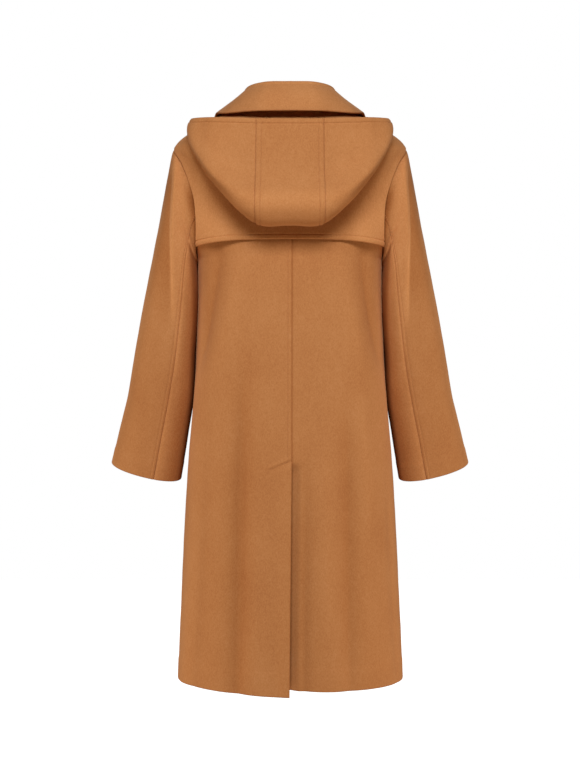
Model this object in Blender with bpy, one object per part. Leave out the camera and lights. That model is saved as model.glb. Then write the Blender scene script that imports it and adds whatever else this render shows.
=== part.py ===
"""A hooded duffle coat in its worn shape, hollow, with nobody in it.

Metres, +Z up. The wearer faces +Y, so the coat's back faces -Y and the wearer's right is +X.
The origin lies on the mid plane, level with the points where the shoulder seams meet the neck.
Every cloth piece is a wall between an outer and an inner grid of points.
"""

import math
from typing import NamedTuple

import bmesh
import bpy
import numpy as np

# Cloth, the room between its layers, and the room that hood and collar keep to the torso
CLOTH = 0.0028
YOKE_CLOTH = 0.0030
HOOD_CLOTH = 0.0030
COLLAR_CLOTH = 0.0044
SEAM_GAP = 0.0003
LAYER_GAP = 0.0008
HOOD_CLEARANCE = 0.0065
COLLAR_CLEARANCE = 0.0115

# Heights and lengths of the body
HEM_Z = -1.095
VENT_TOP_Z = -0.672
UNDERARM_Z = -0.285
YOKE_HEM_Z = -0.263
SLEEVE_SEAM_Z = -0.2015
SHOULDER_Z = -0.065
BACK_NECK_DROP = 0.012
BACK_NECK_BEND = 3
FRONT_NECK_DROP = 0.086
FRONT_NECK_BEND = 1
NECK_CURVE = 1.4
NECK_GATHER = (-0.15, -0.03)
NECK_REACH = 0.04
ARMHOLE_BACK = 0.076
ARMHOLE_FRONT = 0.068
ARMHOLE_SKEW = 0.28
LAP = 0.037

# The vent's two corners hang apart: how far down and up, and how wide and high that reaches
VENT_DROP = 0.008
VENT_DROP_WIDTH = 0.7
VENT_RISE = 0.003
VENT_RISE_WIDTH = 0.3
VENT_HEM_REACH = 0.10
VENT_STEP = 0.085

# The yoke: its hem is arched, hangs free of the back and stops short of the armhole seams
YOKE_RISE = 0.007
YOKE_ARCH = 3
YOKE_FREE = 0.07
YOKE_LIFT = 0.004
YOKE_INSET = 0.0025

CAMEL = (0.52, 0.21, 0.075, 1.0)
CORD_BROWN = (0.16, 0.075, 0.035, 1.0)
LEATHER_BROWN = (0.13, 0.055, 0.025, 1.0)
HORN = (0.075, 0.035, 0.018, 1.0)


class Level(NamedTuple):
    """A height of the torso: half width at the panel's edge, and depth behind and in front."""

    height: float
    edge: float
    back: float
    front: float
    squareness: float


# From the hem up. The edge is the side seam, then the armhole, then the shoulder seam.
TORSO = (
    Level(-1.110, 0.2190, 0.1640, 0.1580, 2.25),
    Level(-1.020, 0.2160, 0.1600, 0.1555, 2.25),
    Level(-0.946, 0.2125, 0.1560, 0.1530, 2.25),
    Level(-0.751, 0.2035, 0.1470, 0.1480, 2.30),
    Level(-0.650, 0.1965, 0.1430, 0.1455, 2.35),
    Level(-0.556, 0.1880, 0.1390, 0.1430, 2.40),
    Level(-0.450, 0.1815, 0.1350, 0.1410, 2.45),
    Level(-0.361, 0.1778, 0.1320, 0.1400, 2.50),
    Level(UNDERARM_Z, 0.1780, 0.1310, 0.1380, 2.50),
    Level(-0.250, 0.1785, 0.1310, 0.1365, 2.50),
    Level(-0.210, 0.1790, 0.1305, 0.1345, 2.50),
    Level(-0.172, 0.1830, 0.1290, 0.1310, 2.50),
    Level(-0.136, 0.1940, 0.1250, 0.1230, 2.48),
    Level(-0.102, 0.2080, 0.1195, 0.1090, 2.42),
    Level(SHOULDER_Z, 0.2205, 0.1085, 0.0920, 2.32),
    Level(-0.046, 0.2000, 0.0995, 0.0830, 2.25),
    Level(-0.026, 0.1600, 0.0880, 0.0730, 2.15),
    Level(-0.011, 0.1200, 0.0780, 0.0660, 2.05),
    Level(0.000, 0.0820, 0.0680, 0.0600, 2.00),
)

# Heights of the panels' rows of points, measured at the panels' edges
SKIRT_ROWS = 5
WAIST_ROWS = 5
ARMHOLE_ROWS = (UNDERARM_Z, YOKE_HEM_Z, -0.234, SLEEVE_SEAM_Z, -0.168, -0.135, -0.105, -0.082, SHOULDER_Z)
SHOULDER_ROWS = 5
SHOULDER_ROW_SPREAD = 1.35
FIRST_ARMHOLE_ROW = SKIRT_ROWS + WAIST_ROWS
YOKE_ROW = FIRST_ARMHOLE_ROW + ARMHOLE_ROWS.index(YOKE_HEM_Z)
PANEL_COLUMNS = 9
ARC_SAMPLES = 120
LEVEL_STEP = 1e-5
SAME_HEIGHT = 0.001


class Ring(NamedTuple):
    """A section across a sleeve, from its outermost to its innermost point, seen from behind."""

    outer_x: float
    outer_z: float
    inner_x: float
    inner_z: float
    seam_x: float
    forward: float
    half_depth: float
    lean: float
    squareness: float


# From the armhole down to the cuff, for the right sleeve. seam_x is where the back seam lies.
SLEEVE = (
    Ring(0.2310, -0.087, 0.1800, -0.2950, 0.1927, 0.002, 0.0690, 0, 2.3),
    Ring(0.2405, -0.130, 0.1800, -0.3060, 0.1951, 0.003, 0.0720, 0, 2.4),
    Ring(0.2530, -0.200, 0.1795, -0.3300, 0.2001, 0.004, 0.0750, 1, 2.5),
    Ring(0.2670, -0.275, 0.1790, -0.3650, 0.2045, 0.006, 0.0750, 2, 2.6),
    Ring(0.2855, -0.369, 0.1808, -0.4230, 0.2120, 0.010, 0.0715, 4, 2.6),
    Ring(0.3025, -0.455, 0.1845, -0.4860, 0.2213, 0.017, 0.0670, 7, 2.5),
    Ring(0.3200, -0.550, 0.1915, -0.5700, 0.2375, 0.030, 0.0610, 10, 2.3),
    Ring(0.3370, -0.615, 0.2030, -0.6400, 0.2523, 0.042, 0.0560, 12, 2.2),
    Ring(0.3540, -0.680, 0.2165, -0.7130, 0.2667, 0.055, 0.0520, 13, 2.1),
)
SLEEVE_ROWS = 11
SLEEVE_ROW_SPREAD = 1.3
SLEEVE_SEAM_SHARE = 0.78
SLEEVE_SEAM_STEPS = 5
SLEEVE_HEAD_TURN = (-0.15, 0.25)


class HoodSection(NamedTuple):
    """A section through the hanging hood: its bottom fold, the lip outside it, the belly, the middle
    and the rim, each (x, y, z)."""

    neck: float
    fold: tuple
    lip: tuple
    belly: tuple
    middle: tuple
    rim: tuple


# From the centre back round to the front end. "neck" is the share of the half neckline.
HOOD = (
    HoodSection(0.00, (0.000, -0.187, -0.2345), (0.000, -0.197, -0.2305), (0.000, -0.2135, -0.202),
                (0.000, -0.199, -0.135), (0.000, -0.192, -0.041)),
    HoodSection(0.13, (0.064, -0.184, -0.2305), (0.064, -0.194, -0.2265), (0.064, -0.2125, -0.198),
                (0.063, -0.192, -0.130), (0.062, -0.188, -0.040)),
    HoodSection(0.23, (0.113, -0.166, -0.1885), (0.1155, -0.182, -0.1850), (0.118, -0.2025, -0.170),
                (0.114, -0.182, -0.108), (0.112, -0.179, -0.037)),
    HoodSection(0.33, (0.156, -0.128, -0.1310), (0.1595, -0.147, -0.1285), (0.163, -0.170, -0.117),
                (0.159, -0.161, -0.078), (0.154, -0.158, -0.033)),
    HoodSection(0.42, (0.184, -0.083, -0.0720), (0.1885, -0.093, -0.0700), (0.193, -0.106, -0.060),
                (0.193, -0.110, -0.040), (0.184, -0.107, -0.026)),
    HoodSection(0.48, (0.178, -0.026, -0.0360), (0.182, -0.028, -0.0340), (0.187, -0.030, -0.029),
                (0.184, -0.032, -0.020), (0.172, -0.030, -0.013)),
    HoodSection(0.53, (0.142, 0.008, -0.0130), (0.145, 0.0085, -0.0120), (0.147, 0.009, -0.010),
                (0.144, 0.007, -0.006), (0.137, 0.005, -0.004)),
    HoodSection(0.57, (0.104, 0.030, -0.0080), (0.106, 0.0295, -0.0085), (0.108, 0.029, -0.009),
                (0.112, 0.028, -0.010), (0.117, 0.026, -0.011)),
)
HOOD_SEAM = 1
HOOD_STEPS = 2
# Where the mesh's rows lie between the neck seam at 0, the fold at 3, the lip, the belly, the middle
# and the rim at 7
HOOD_ROWS = (0, 1, 1.35, 1.7, 2, 2.35, 2.7, 3, 3.5, 4, 4.5, 5, 5.5, 6, 6.5, 7)
HOOD_FOOT = 0.006
HOOD_FOOT_RUN = 0.012
HOOD_FOOT_DROP = 0.004


class CollarSection(NamedTuple):
    """A section through the turned-down collar: its fold and its free edge, each (x, y, z).

    The crown is how far the leaf between them bulges.
    """

    neck: float
    fold: tuple
    edge: tuple
    crown: float


COLLAR = (
    CollarSection(0.00, (0.000, -0.076, 0.042), (0.000, -0.118, -0.014), 0.004),
    CollarSection(0.22, (0.048, -0.068, 0.042), (0.068, -0.106, -0.013), 0.004),
    CollarSection(0.38, (0.074, -0.036, 0.040), (0.127, -0.062, -0.009), 0.001),
    CollarSection(0.50, (0.079, -0.002, 0.034), (0.145, -0.004, -0.001), 0.001),
    CollarSection(0.64, (0.074, 0.032, 0.020), (0.148, 0.046, -0.026), 0.006),
    CollarSection(0.82, (0.048, 0.064, -0.020), (0.122, 0.092, -0.088), 0.006),
    CollarSection(0.97, (0.016, 0.080, -0.060), (0.074, 0.120, -0.150), 0.004),
)
COLLAR_END = 0.97
COLLAR_FOLD_RADIUS = 0.005
COLLAR_STAND_STEPS = 2
COLLAR_FOLD_STEPS = 3
COLLAR_LEAF_STEPS = 5

TOGGLE_HEIGHTS = (-0.190, -0.335, -0.480, -0.625)
TOGGLE_X = -0.036
LOOP_REACH = 0.012
TETHER_REACH = 0.006
TETHER_RISE = (0.30, 0.62)
CORD_RADIUS = 0.0015
CORD_TUCK = 0.004
CORD_RUN_POINTS = 7
CORD_BEND_POINTS = 7
LOOP_SPREAD = 0.0068
TETHER_SPREAD = 0.0034
LOOP_PATCH_X = 0.030
TETHER_PATCH_X = -0.102
PATCH_WIDTH = 0.034
PATCH_HEIGHT = 0.030
PATCH_LEATHER = 0.0018
PATCH_ROUNDING = 0.28
PATCH_BULGE_HEIGHT = 0.58
PATCH_BULGE_START = (-0.7, 0.1)
PATCH_GRID = 7
TURNED_SIDES = 16


class TogglePoint(NamedTuple):
    """A station along half a toggle, from its waist to its tip."""

    along: float
    radius: float


TOGGLE = (
    TogglePoint(0.0000, 0.0052),
    TogglePoint(0.0030, 0.0054),
    TogglePoint(0.0050, 0.0066),
    TogglePoint(0.0110, 0.0068),
    TogglePoint(0.0180, 0.0058),
    TogglePoint(0.0240, 0.0042),
    TogglePoint(0.0265, 0.0026),
    TogglePoint(0.0272, 0.0010),
)


def column(rows, name):
    return np.array([getattr(row, name) for row in rows], float)


def smooth(at, known, values):
    """Cubic Hermite curve through a table's values, whose known positions ascend."""
    known = np.asarray(known, float)
    values = np.asarray(values, float)
    at = np.clip(np.asarray(at, float), known[0], known[-1])
    wide = (-1,) + (1,) * (values.ndim - 1)
    steps = np.diff(known)
    slopes = np.diff(values, axis=0) / steps.reshape(wide)
    before = (steps[1:] / (steps[:-1] + steps[1:])).reshape(wide)
    tangents = np.empty_like(values)
    tangents[0] = slopes[0]
    tangents[-1] = slopes[-1]
    tangents[1:-1] = before * slopes[:-1] + (1 - before) * slopes[1:]
    i = np.clip(np.searchsorted(known, at, side="right") - 1, 0, len(steps) - 1)
    shape = at.shape + (1,) * (values.ndim - 1)
    h = steps[i].reshape(shape)
    t = ((at - known[i]) / steps[i]).reshape(shape)
    return (
        values[i] * (1 + 2 * t) * (1 - t) ** 2
        + tangents[i] * h * t * (1 - t) ** 2
        + values[i + 1] * t * t * (3 - 2 * t)
        + tangents[i + 1] * h * t * t * (t - 1)
    )


def ease(at, start, end):
    """0 before start, 1 after end, and a smooth step between them."""
    t = np.clip((np.asarray(at, float) - start) / (end - start), 0, 1)
    return t * t * (3 - 2 * t)


def unit(v):
    return v / np.maximum(np.linalg.norm(v, axis=-1, keepdims=True), 1e-12)


def lengths(line):
    """Distance along a line of points, from its first to each one."""
    return np.concatenate([[0], np.cumsum(np.linalg.norm(np.diff(line, axis=0), axis=1))])


def points_along(line, at):
    along = lengths(line)
    return np.stack([np.interp(at, along, line[:, k]) for k in range(line.shape[1])], axis=-1)


def mirrored(grid):
    return grid * np.array([-1.0, 1.0, 1.0])


def whole(half):
    """A grid over both sides, from its right half, whose first column is at the centre back."""
    return np.concatenate([mirrored(half[:, :0:-1]), half], axis=1)


# The torso: a stack of superellipses, open at the armholes


def armhole_depth(z, side):
    """How far the armhole's edge lies behind or in front of the plane of the side seams."""
    share = np.clip((z - UNDERARM_Z) / (SHOULDER_Z - UNDERARM_Z), 0, 1)
    turn = np.arccos(1 - 2 * share)
    reach = ARMHOLE_BACK if side == "back" else ARMHOLE_FRONT
    return reach * np.sin(turn) * (1 + ARMHOLE_SKEW * np.cos(turn))


def torso_size(z, side):
    """Half width, depth, squareness and edge depth of the torso's ring at height z."""
    heights = column(TORSO, "height")
    edge = smooth(z, heights, column(TORSO, "edge"))
    depth = smooth(z, heights, column(TORSO, side))
    power = smooth(z, heights, column(TORSO, "squareness"))
    edge_depth = armhole_depth(z, side)
    width = edge / (1 - (edge_depth / depth) ** power) ** (1 / power)
    return width, depth, power, edge_depth


def torso_level(p):
    """The torso's implicit function: 0 on its surface, and more outside it."""
    x = np.abs(p[..., 0])
    y = p[..., 1]
    values = []
    for side in ("back", "front"):
        width, depth, power, _ = torso_size(p[..., 2], side)
        values.append(1 - ((x / width) ** power + (np.abs(y) / depth) ** power) ** (-1 / power))
    return np.where(y < 0, values[0], values[1])


def torso_gradient(p):
    parts = []
    for move in np.eye(3) * LEVEL_STEP:
        parts.append((torso_level(p + move) - torso_level(p - move)) / (2 * LEVEL_STEP))
    return np.stack(parts, axis=-1)


def torso_point(x, z, side):
    """The points of the torso's surface behind or in front of the side seams, at x and z."""
    width, depth, power, _ = torso_size(z, side)
    share = np.clip(np.abs(x) / width, 0, 1)
    y = depth * (1 - share**power) ** (1 / power)
    return np.stack([x, -y if side == "back" else y, np.broadcast_to(z, np.shape(x))], axis=-1)


def seated(p, clearance, rounds=6):
    """The points, moved out where they lie nearer to the torso than the clearance."""
    p = p.copy()
    for _ in range(rounds):
        gradient = torso_gradient(p)
        size = np.maximum(np.linalg.norm(gradient, axis=-1), 1e-9)
        short = np.maximum(clearance - torso_level(p) / size, 0) * (p[..., 2] < 0)
        p = p + gradient / size[..., None] * short[..., None]
    return p


def panel_heights():
    skirt = np.linspace(HEM_Z, VENT_TOP_Z, SKIRT_ROWS + 1)[:-1]
    waist = np.linspace(VENT_TOP_Z, UNDERARM_Z, WAIST_ROWS + 1)[:-1]
    shoulder = SHOULDER_Z * (1 - np.linspace(0, 1, SHOULDER_ROWS + 1)[1:]) ** SHOULDER_ROW_SPREAD
    return np.concatenate([skirt, waist, ARMHOLE_ROWS, shoulder])


def panel_points(side, columns):
    """The grid of a torso panel: its rows go up, its columns from the centre to the edge.

    The first column is LAP away from the centre, and a negative one lies as far on its other
    side. The rest share the width evenly by arc length up to the armhole, and gather towards the
    neck above it.
    """
    columns = np.asarray(columns, float)
    first = 1 / (PANEL_COLUMNS - 1)
    past_first = np.clip((np.abs(columns) - first) / (1 - first), 0, 1)
    rises = columns > 0
    heights = panel_heights()
    neck_drop = BACK_NECK_DROP if side == "back" else FRONT_NECK_DROP
    bend = BACK_NECK_BEND if side == "back" else FRONT_NECK_BEND
    gathers = ease(heights, *NECK_GATHER)
    rows = []
    for height, gather in zip(heights, gathers):
        width, depth, power, edge_depth = torso_size(height, side)
        last = math.acos((edge_depth / depth) ** (power / 2))
        turn = np.linspace(0, last, ARC_SAMPLES)
        ring_x = width * np.sin(turn) ** (2 / power)
        ring_y = depth * np.cos(turn) ** (2 / power)
        along = lengths(np.stack([ring_x, ring_y], axis=-1))
        edge = ring_x[-1]
        from_lap = np.interp(LAP, ring_x, along)
        even = np.interp(from_lap + (along[-1] - from_lap) * past_first, along, ring_x)
        gathered = LAP + (edge - LAP) * np.sin(past_first * math.pi / 2)
        x = np.where(np.abs(columns) < first, 0, even + (gathered - even) * gather)
        drop = neck_drop * ease(height, UNDERARM_Z, 0) ** bend
        z = height - drop * (1 - rises * (x / edge) ** NECK_CURVE)
        rows.append(torso_point(np.copysign(x, columns), z, side))
    return np.array(rows)


# Walls of cloth


def material(name, colour, roughness):
    made = bpy.data.materials.new(name)
    made.use_nodes = True
    shader = made.node_tree.nodes["Principled BSDF"]
    shader.inputs["Base Color"].default_value = colour
    shader.inputs["Roughness"].default_value = roughness
    shader.inputs["Metallic"].default_value = 0.0
    return made


def placed(name, data, finish):
    data.materials.append(finish)
    thing = bpy.data.objects.new(name, data)
    bpy.context.scene.collection.objects.link(thing)
    if thing.type == "MESH":
        data.shade_smooth()
        data.set_sharp_from_angle(angle=math.radians(40))
    return thing


def mesh_from(name, bm, finish):
    mesh = bpy.data.meshes.new(name)
    bmesh.ops.recalc_face_normals(bm, faces=bm.faces)
    bm.to_mesh(mesh)
    bm.free()
    return placed(name, mesh, finish)


def cloth_wall(name, outer, inner, finish, keep=None):
    """The closed wall between two grids of points, over the cells that keep marks.

    Every cell is split on the diagonal that runs outwards and up, and every rim cell on the one
    from its first outer point, so that walls which share points fit each other exactly.
    """
    bm = bmesh.new()
    rows, columns = outer.shape[:2]
    front = [[bm.verts.new(outer[r, c]) for c in range(columns)] for r in range(rows)]
    behind = {front[r][c]: bm.verts.new(inner[r, c]) for r in range(rows) for c in range(columns)}
    bm.verts.index_update()
    for r in range(rows - 1):
        for c in range(columns - 1):
            if keep is None or keep[r, c]:
                corners = [front[r][c], front[r][c + 1], front[r + 1][c + 1], front[r + 1][c]]
                if abs(outer[r, c, 0]) > abs(outer[r, c + 1, 0]):
                    corners = corners[1:] + corners[:1]
                bm.faces.new(corners[:3])
                bm.faces.new((corners[0], *corners[2:]))
    rim = [sorted(edge.verts, key=lambda v: v.index) for edge in bm.edges if edge.is_boundary]
    for face in list(bm.faces):
        bm.faces.new([behind[v] for v in reversed(face.verts)])
    for a, b in rim:
        bm.faces.new((a, b, behind[b]))
        bm.faces.new((a, behind[b], behind[a]))
    loose = [v for v in bm.verts if not v.link_faces]
    bmesh.ops.delete(bm, geom=loose, context="VERTS")
    return mesh_from(name, bm, finish)


def trimmed(grid, rows=(0, 0), columns=(0, 0)):
    """The grid with its edges drawn in by these distances, so that seams stay a hair open."""
    grid = grid.copy()
    for axis, (low, high) in ((0, rows), (1, columns)):
        g = np.moveaxis(grid, axis, 0)
        if low:
            g[0] += unit(g[1] - g[0]) * low
        if high:
            g[-1] += unit(g[-2] - g[-1]) * high
    return grid


def on_torso(grid, lift, thickness, rows=(0, 0), columns=(0, 0)):
    """The outer and inner faces of a wall that follows the torso, lifted off it by lift."""
    normal = unit(torso_gradient(grid))
    lift = np.broadcast_to(np.asarray(lift, float), grid.shape[:2])[..., None]
    faces = (grid + normal * lift, grid + normal * (lift - thickness))
    return [trimmed(face, rows, columns) for face in faces]


def seam_edges(*sides):
    return tuple(SEAM_GAP / 2 if side else 0 for side in sides)


# Backs, with the centre vent


def build_backs(wool):
    shares = np.linspace(0, 1, PANEL_COLUMNS)
    columns = np.concatenate([[-shares[1]], shares])
    grid = panel_points("back", columns)
    heights = grid[:, -1, 2]
    near_hem = (1 - ease(heights, HEM_Z, HEM_Z + VENT_HEM_REACH))[:, None]

    left = grid[:, 1:].copy()
    left[:, :, 2] -= VENT_DROP * near_hem * (1 - ease(shares, 0, VENT_DROP_WIDTH))
    faces = on_torso(left, 0, CLOTH, seam_edges(0, 1), seam_edges(1, 1))
    cloth_wall("back_left", *map(mirrored, faces), wool)

    vent_top = VENT_TOP_Z + SAME_HEIGHT
    grid[:, :, 2] += VENT_RISE * near_hem * (1 - ease(np.abs(columns), 0, VENT_RISE_WIDTH))
    in_vent = (1 - ease(heights, vent_top, VENT_TOP_Z + VENT_STEP))[:, None]
    under = in_vent * (1 - ease(columns, 0, shares[2]))
    faces = on_torso(grid, -(CLOTH + LAYER_GAP) * under, CLOTH, seam_edges(0, 1), seam_edges(0, 1))
    keep = np.ones((grid.shape[0] - 1, grid.shape[1] - 1), bool)
    keep[heights[1:] > vent_top, 0] = False
    seamed = np.append(~keep[:, 0], True)
    for face in faces:
        face[seamed, 1, 0] += SEAM_GAP / 2
    cloth_wall("back_right", *faces, wool, keep)


# Fronts, the right over the left


def build_fronts(wool):
    shares = np.linspace(0, 1, PANEL_COLUMNS)
    columns = np.concatenate([[-shares[1]], shares])
    grid = panel_points("front", columns)
    edges = seam_edges(0, 1)
    cloth_wall("front_right", *on_torso(grid, 0, CLOTH, edges, edges), wool)
    under = 1 - ease(columns, shares[1], shares[3])
    lift = np.broadcast_to(-(CLOTH + LAYER_GAP) * under, grid.shape[:2])
    cloth_wall("front_left", *map(mirrored, on_torso(grid, lift, CLOTH, edges, edges)), wool)


# The storm yoke, which hangs loose over the back


def build_yoke(wool):
    shares = np.linspace(0, 1, PANEL_COLUMNS)
    half = panel_points("back", shares)[YOKE_ROW:]
    hem_z = half[0, :, 2] + YOKE_RISE * (1 - shares**YOKE_ARCH)
    half[0] = torso_point(half[0, :, 0], hem_z, "back")
    grid = whole(half)
    free = 1 - ease(grid[:, :, 2], YOKE_HEM_Z, YOKE_HEM_Z + YOKE_FREE)
    lift = SEAM_GAP + YOKE_CLOTH + YOKE_LIFT * free
    inset = (YOKE_INSET, YOKE_INSET)
    cloth_wall("yoke", *on_torso(grid, lift, YOKE_CLOTH, (0, YOKE_INSET), inset), wool)


# Sleeves


def armhole_line():
    """The right armhole's points from the shoulder down the back, and up the front again."""
    last = FIRST_ARMHOLE_ROW + len(ARMHOLE_ROWS)
    back = panel_points("back", [1.0])[FIRST_ARMHOLE_ROW:last, 0]
    front = panel_points("front", [1.0])[FIRST_ARMHOLE_ROW:last, 0]
    return np.concatenate([back[::-1], front[1:]])


def sleeve_stations():
    """Station numbers of the armhole's points round the sleeve, with one more between most."""
    steps = len(ARMHOLE_ROWS) - 1
    split = [2] * SLEEVE_SEAM_STEPS
    whole_steps = [1] * (2 * (steps - SLEEVE_SEAM_STEPS))
    return np.concatenate([[0], np.cumsum(split + whole_steps + split)])


def sleeve_ring(ring, stations):
    """One section's points, spaced evenly between its outermost point and its two seams."""
    outer = np.array([ring.outer_x, ring.forward, ring.outer_z])
    inner = np.array([ring.inner_x, ring.forward, ring.inner_z])
    across = (outer - inner) / 2
    lean = math.radians(ring.lean)
    through = ring.half_depth * np.array([0, -math.cos(lean), -math.sin(lean)])
    turn = np.linspace(0, 2 * math.pi, 2 * ARC_SAMPLES + 1)
    power = 2 / ring.squareness
    cos = np.sign(np.cos(turn)) * np.abs(np.cos(turn)) ** power
    sin = np.sign(np.sin(turn)) * np.abs(np.sin(turn)) ** power
    line = (outer + inner) / 2 + cos[:, None] * across + sin[:, None] * through
    along = lengths(line)
    half = ARC_SAMPLES
    front_x = ring.outer_x + (ring.inner_x - ring.outer_x) * SLEEVE_SEAM_SHARE
    back_seam = np.interp(-ring.seam_x, -line[: half + 1, 0], along[: half + 1])
    front_seam = np.interp(front_x, line[half:, 0], along[half:])
    marks = (0, stations[SLEEVE_SEAM_STEPS], stations[-1 - SLEEVE_SEAM_STEPS], stations[-1])
    at = np.interp(np.arange(stations[-1]), marks, (0, back_seam, front_seam, along[-1]))
    return points_along(line, at)


def sleeve_faces():
    """Outer and inner faces of the right sleeve, (rows, stations, 3), from armhole to cuff."""
    stations = sleeve_stations()
    line = armhole_line()
    number = np.arange(stations[-1])
    loop = np.stack([np.interp(number, stations, line[:, k]) for k in range(3)], axis=-1)
    loops = np.array([loop] + [sleeve_ring(ring, stations) for ring in SLEEVE])
    apart = np.linalg.norm(np.diff(loops, axis=0), axis=2).mean(axis=1)
    known = np.concatenate([[0], np.cumsum(apart)])
    outer = smooth(known[-1] * np.linspace(0, 1, SLEEVE_ROWS) ** SLEEVE_ROW_SPREAD, known, loops)

    around = np.roll(outer, -1, axis=1) - np.roll(outer, 1, axis=1)
    normal = unit(np.cross(around, np.gradient(outer, axis=0)))
    outward = outer - outer.mean(axis=1, keepdims=True)
    normal = normal * np.sign((normal * outward).sum(axis=(1, 2)).mean())
    body_normal = unit(torso_gradient(loop))
    away = np.cross(body_normal, unit(around[0]))
    ridge = ease((away * normal[0]).sum(axis=1), *SLEEVE_HEAD_TURN)[:, None]
    normal[0] = unit(ridge * body_normal + (1 - ridge) * normal[0])
    outer[0] += unit(away + body_normal) * SEAM_GAP * math.sqrt(2)
    return outer, outer - normal * CLOTH


def build_sleeves(wool):
    stations = sleeve_stations()
    back_seam = stations[SLEEVE_SEAM_STEPS]
    front_seam = stations[-1 - SLEEVE_SEAM_STEPS]
    under = list(range(back_seam, front_seam + 1))
    top = list(range(front_seam, stations[-1])) + list(range(back_seam + 1))
    for part, chosen in (("top", top), ("under", under)):
        faces = [trimmed(face[:, chosen], columns=seam_edges(1, 1)) for face in sleeve_faces()]
        cloth_wall(f"sleeve_right_{part}", *faces, wool)
        cloth_wall(f"sleeve_left_{part}", *map(mirrored, faces), wool)


# The neckline, and the collar and hood sewn to it


def neck_line():
    """Points of the right half neckline, from the centre back to the centre front."""
    shares = np.linspace(0, 1, PANEL_COLUMNS)
    back = panel_points("back", shares)[-1]
    front = panel_points("front", shares)[-1, ::-1]
    return np.concatenate([back, front[1:]])


def neck_frame(shares):
    """Points at shares of the half neckline, with level unit vectors that point out from it."""
    line = neck_line()
    total = lengths(line)[-1]
    shares = np.asarray(shares)
    points = points_along(line, shares * total)
    reach = NECK_REACH * total
    ahead = points_along(line, np.clip(shares * total + reach, 0, total))
    behind = points_along(line, np.clip(shares * total - reach, 0, total))
    along = ahead - behind
    out = unit(np.stack([-along[:, 1], along[:, 0], np.zeros(len(shares))], axis=-1))
    return points, out * np.sign((out * points).sum(axis=-1, keepdims=True))


def sheet_normals(grid):
    return unit(np.cross(np.gradient(grid, axis=1), np.gradient(grid, axis=0)))


def build_collar(wool):
    line = neck_line()
    shares = lengths(line) / lengths(line)[-1]
    shares[-1] = COLLAR_END
    known = column(COLLAR, "neck")
    fold = smooth(shares, known, column(COLLAR, "fold"))
    edge = smooth(shares, known, column(COLLAR, "edge"))
    crown = smooth(shares, known, column(COLLAR, "crown"))[:, None]
    base, out = neck_frame(shares)
    up = np.array([0.0, 0.0, 1.0])
    foot = base - out * CLOTH / 2 + up * SEAM_GAP
    leaf_out = unit((edge - fold) * np.array([1, 1, 0]))
    half_wall = COLLAR_CLOTH / 2
    rows = [foot + (fold - foot) * share for share in np.linspace(0, 1, COLLAR_STAND_STEPS + 1)]
    for turn in np.linspace(0, math.pi, COLLAR_FOLD_STEPS + 1)[1:]:
        rise = up * COLLAR_FOLD_RADIUS * math.sin(turn)
        rows.append(fold + leaf_out * COLLAR_FOLD_RADIUS * (1 - math.cos(turn)) + rise)
    start = rows[-1]
    for share in np.linspace(0, 1, COLLAR_LEAF_STEPS + 1)[1:]:
        bulge = (up + leaf_out) * crown * math.sin(math.pi * share)
        rows.append(seated(start + (edge - start) * share + bulge, COLLAR_CLEARANCE + half_wall))
    grid = whole(np.array(rows))
    normal = sheet_normals(grid)
    normal[0] = unit(normal[0] * np.array([1, 1, 0]))
    cloth_wall("collar", grid + normal * half_wall, grid - normal * half_wall, wool)


def hood_grid():
    """The hood's outer face over the right half: rows go from the neck seam to the rim."""
    known = column(HOOD, "neck")
    number = np.arange((len(HOOD) - 1) * HOOD_STEPS + 1) / HOOD_STEPS
    shares = np.interp(number, range(len(HOOD)), known)
    fold, lip, belly, middle, rim = (
        smooth(shares, known, column(HOOD, name)) for name in ("fold", "lip", "belly", "middle", "rim")
    )
    base, out = neck_frame(shares)
    start = base + out * HOOD_FOOT + np.array([0, 0, HOOD_FOOT])
    first = start + out * HOOD_FOOT_RUN - np.array([0, 0, HOOD_FOOT_DROP])
    halfway = seated((start + fold) / 2, HOOD_CLEARANCE)
    chain = np.array([start, first, halfway, fold, lip, belly, middle, rim])
    grid = np.empty((len(HOOD_ROWS), len(shares), 3))
    for c in range(len(shares)):
        at = lengths(chain[:, c])
        grid[:, c] = smooth(np.interp(HOOD_ROWS, range(len(at)), at), at, chain[:, c])
    grid[1:] = seated(grid[1:], HOOD_CLEARANCE)
    return grid


def build_hood(wool):
    half = hood_grid()
    grid = whole(half)
    faces = (grid, grid - sheet_normals(grid) * HOOD_CLOTH)
    middle = half.shape[1] - 1
    seam = HOOD_SEAM * HOOD_STEPS
    spans = {
        "hood_left": (0, middle - seam + 1, seam_edges(0, 1)),
        "hood_centre": (middle - seam, middle + seam + 1, seam_edges(1, 1)),
        "hood_right": (middle + seam, grid.shape[1], seam_edges(1, 0)),
    }
    for name, (first, last, gaps) in spans.items():
        cut = [trimmed(face[:, first:last], columns=gaps) for face in faces]
        cloth_wall(name, *cut, wool)


# The toggle fastening of the front


def front_point(x, z, lift):
    """A point over the front panels at x and z, lifted off them along the surface's normal."""
    p = torso_point(x, z, "front")
    return p + unit(torso_gradient(p)) * np.asarray(lift)[..., None]


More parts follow.
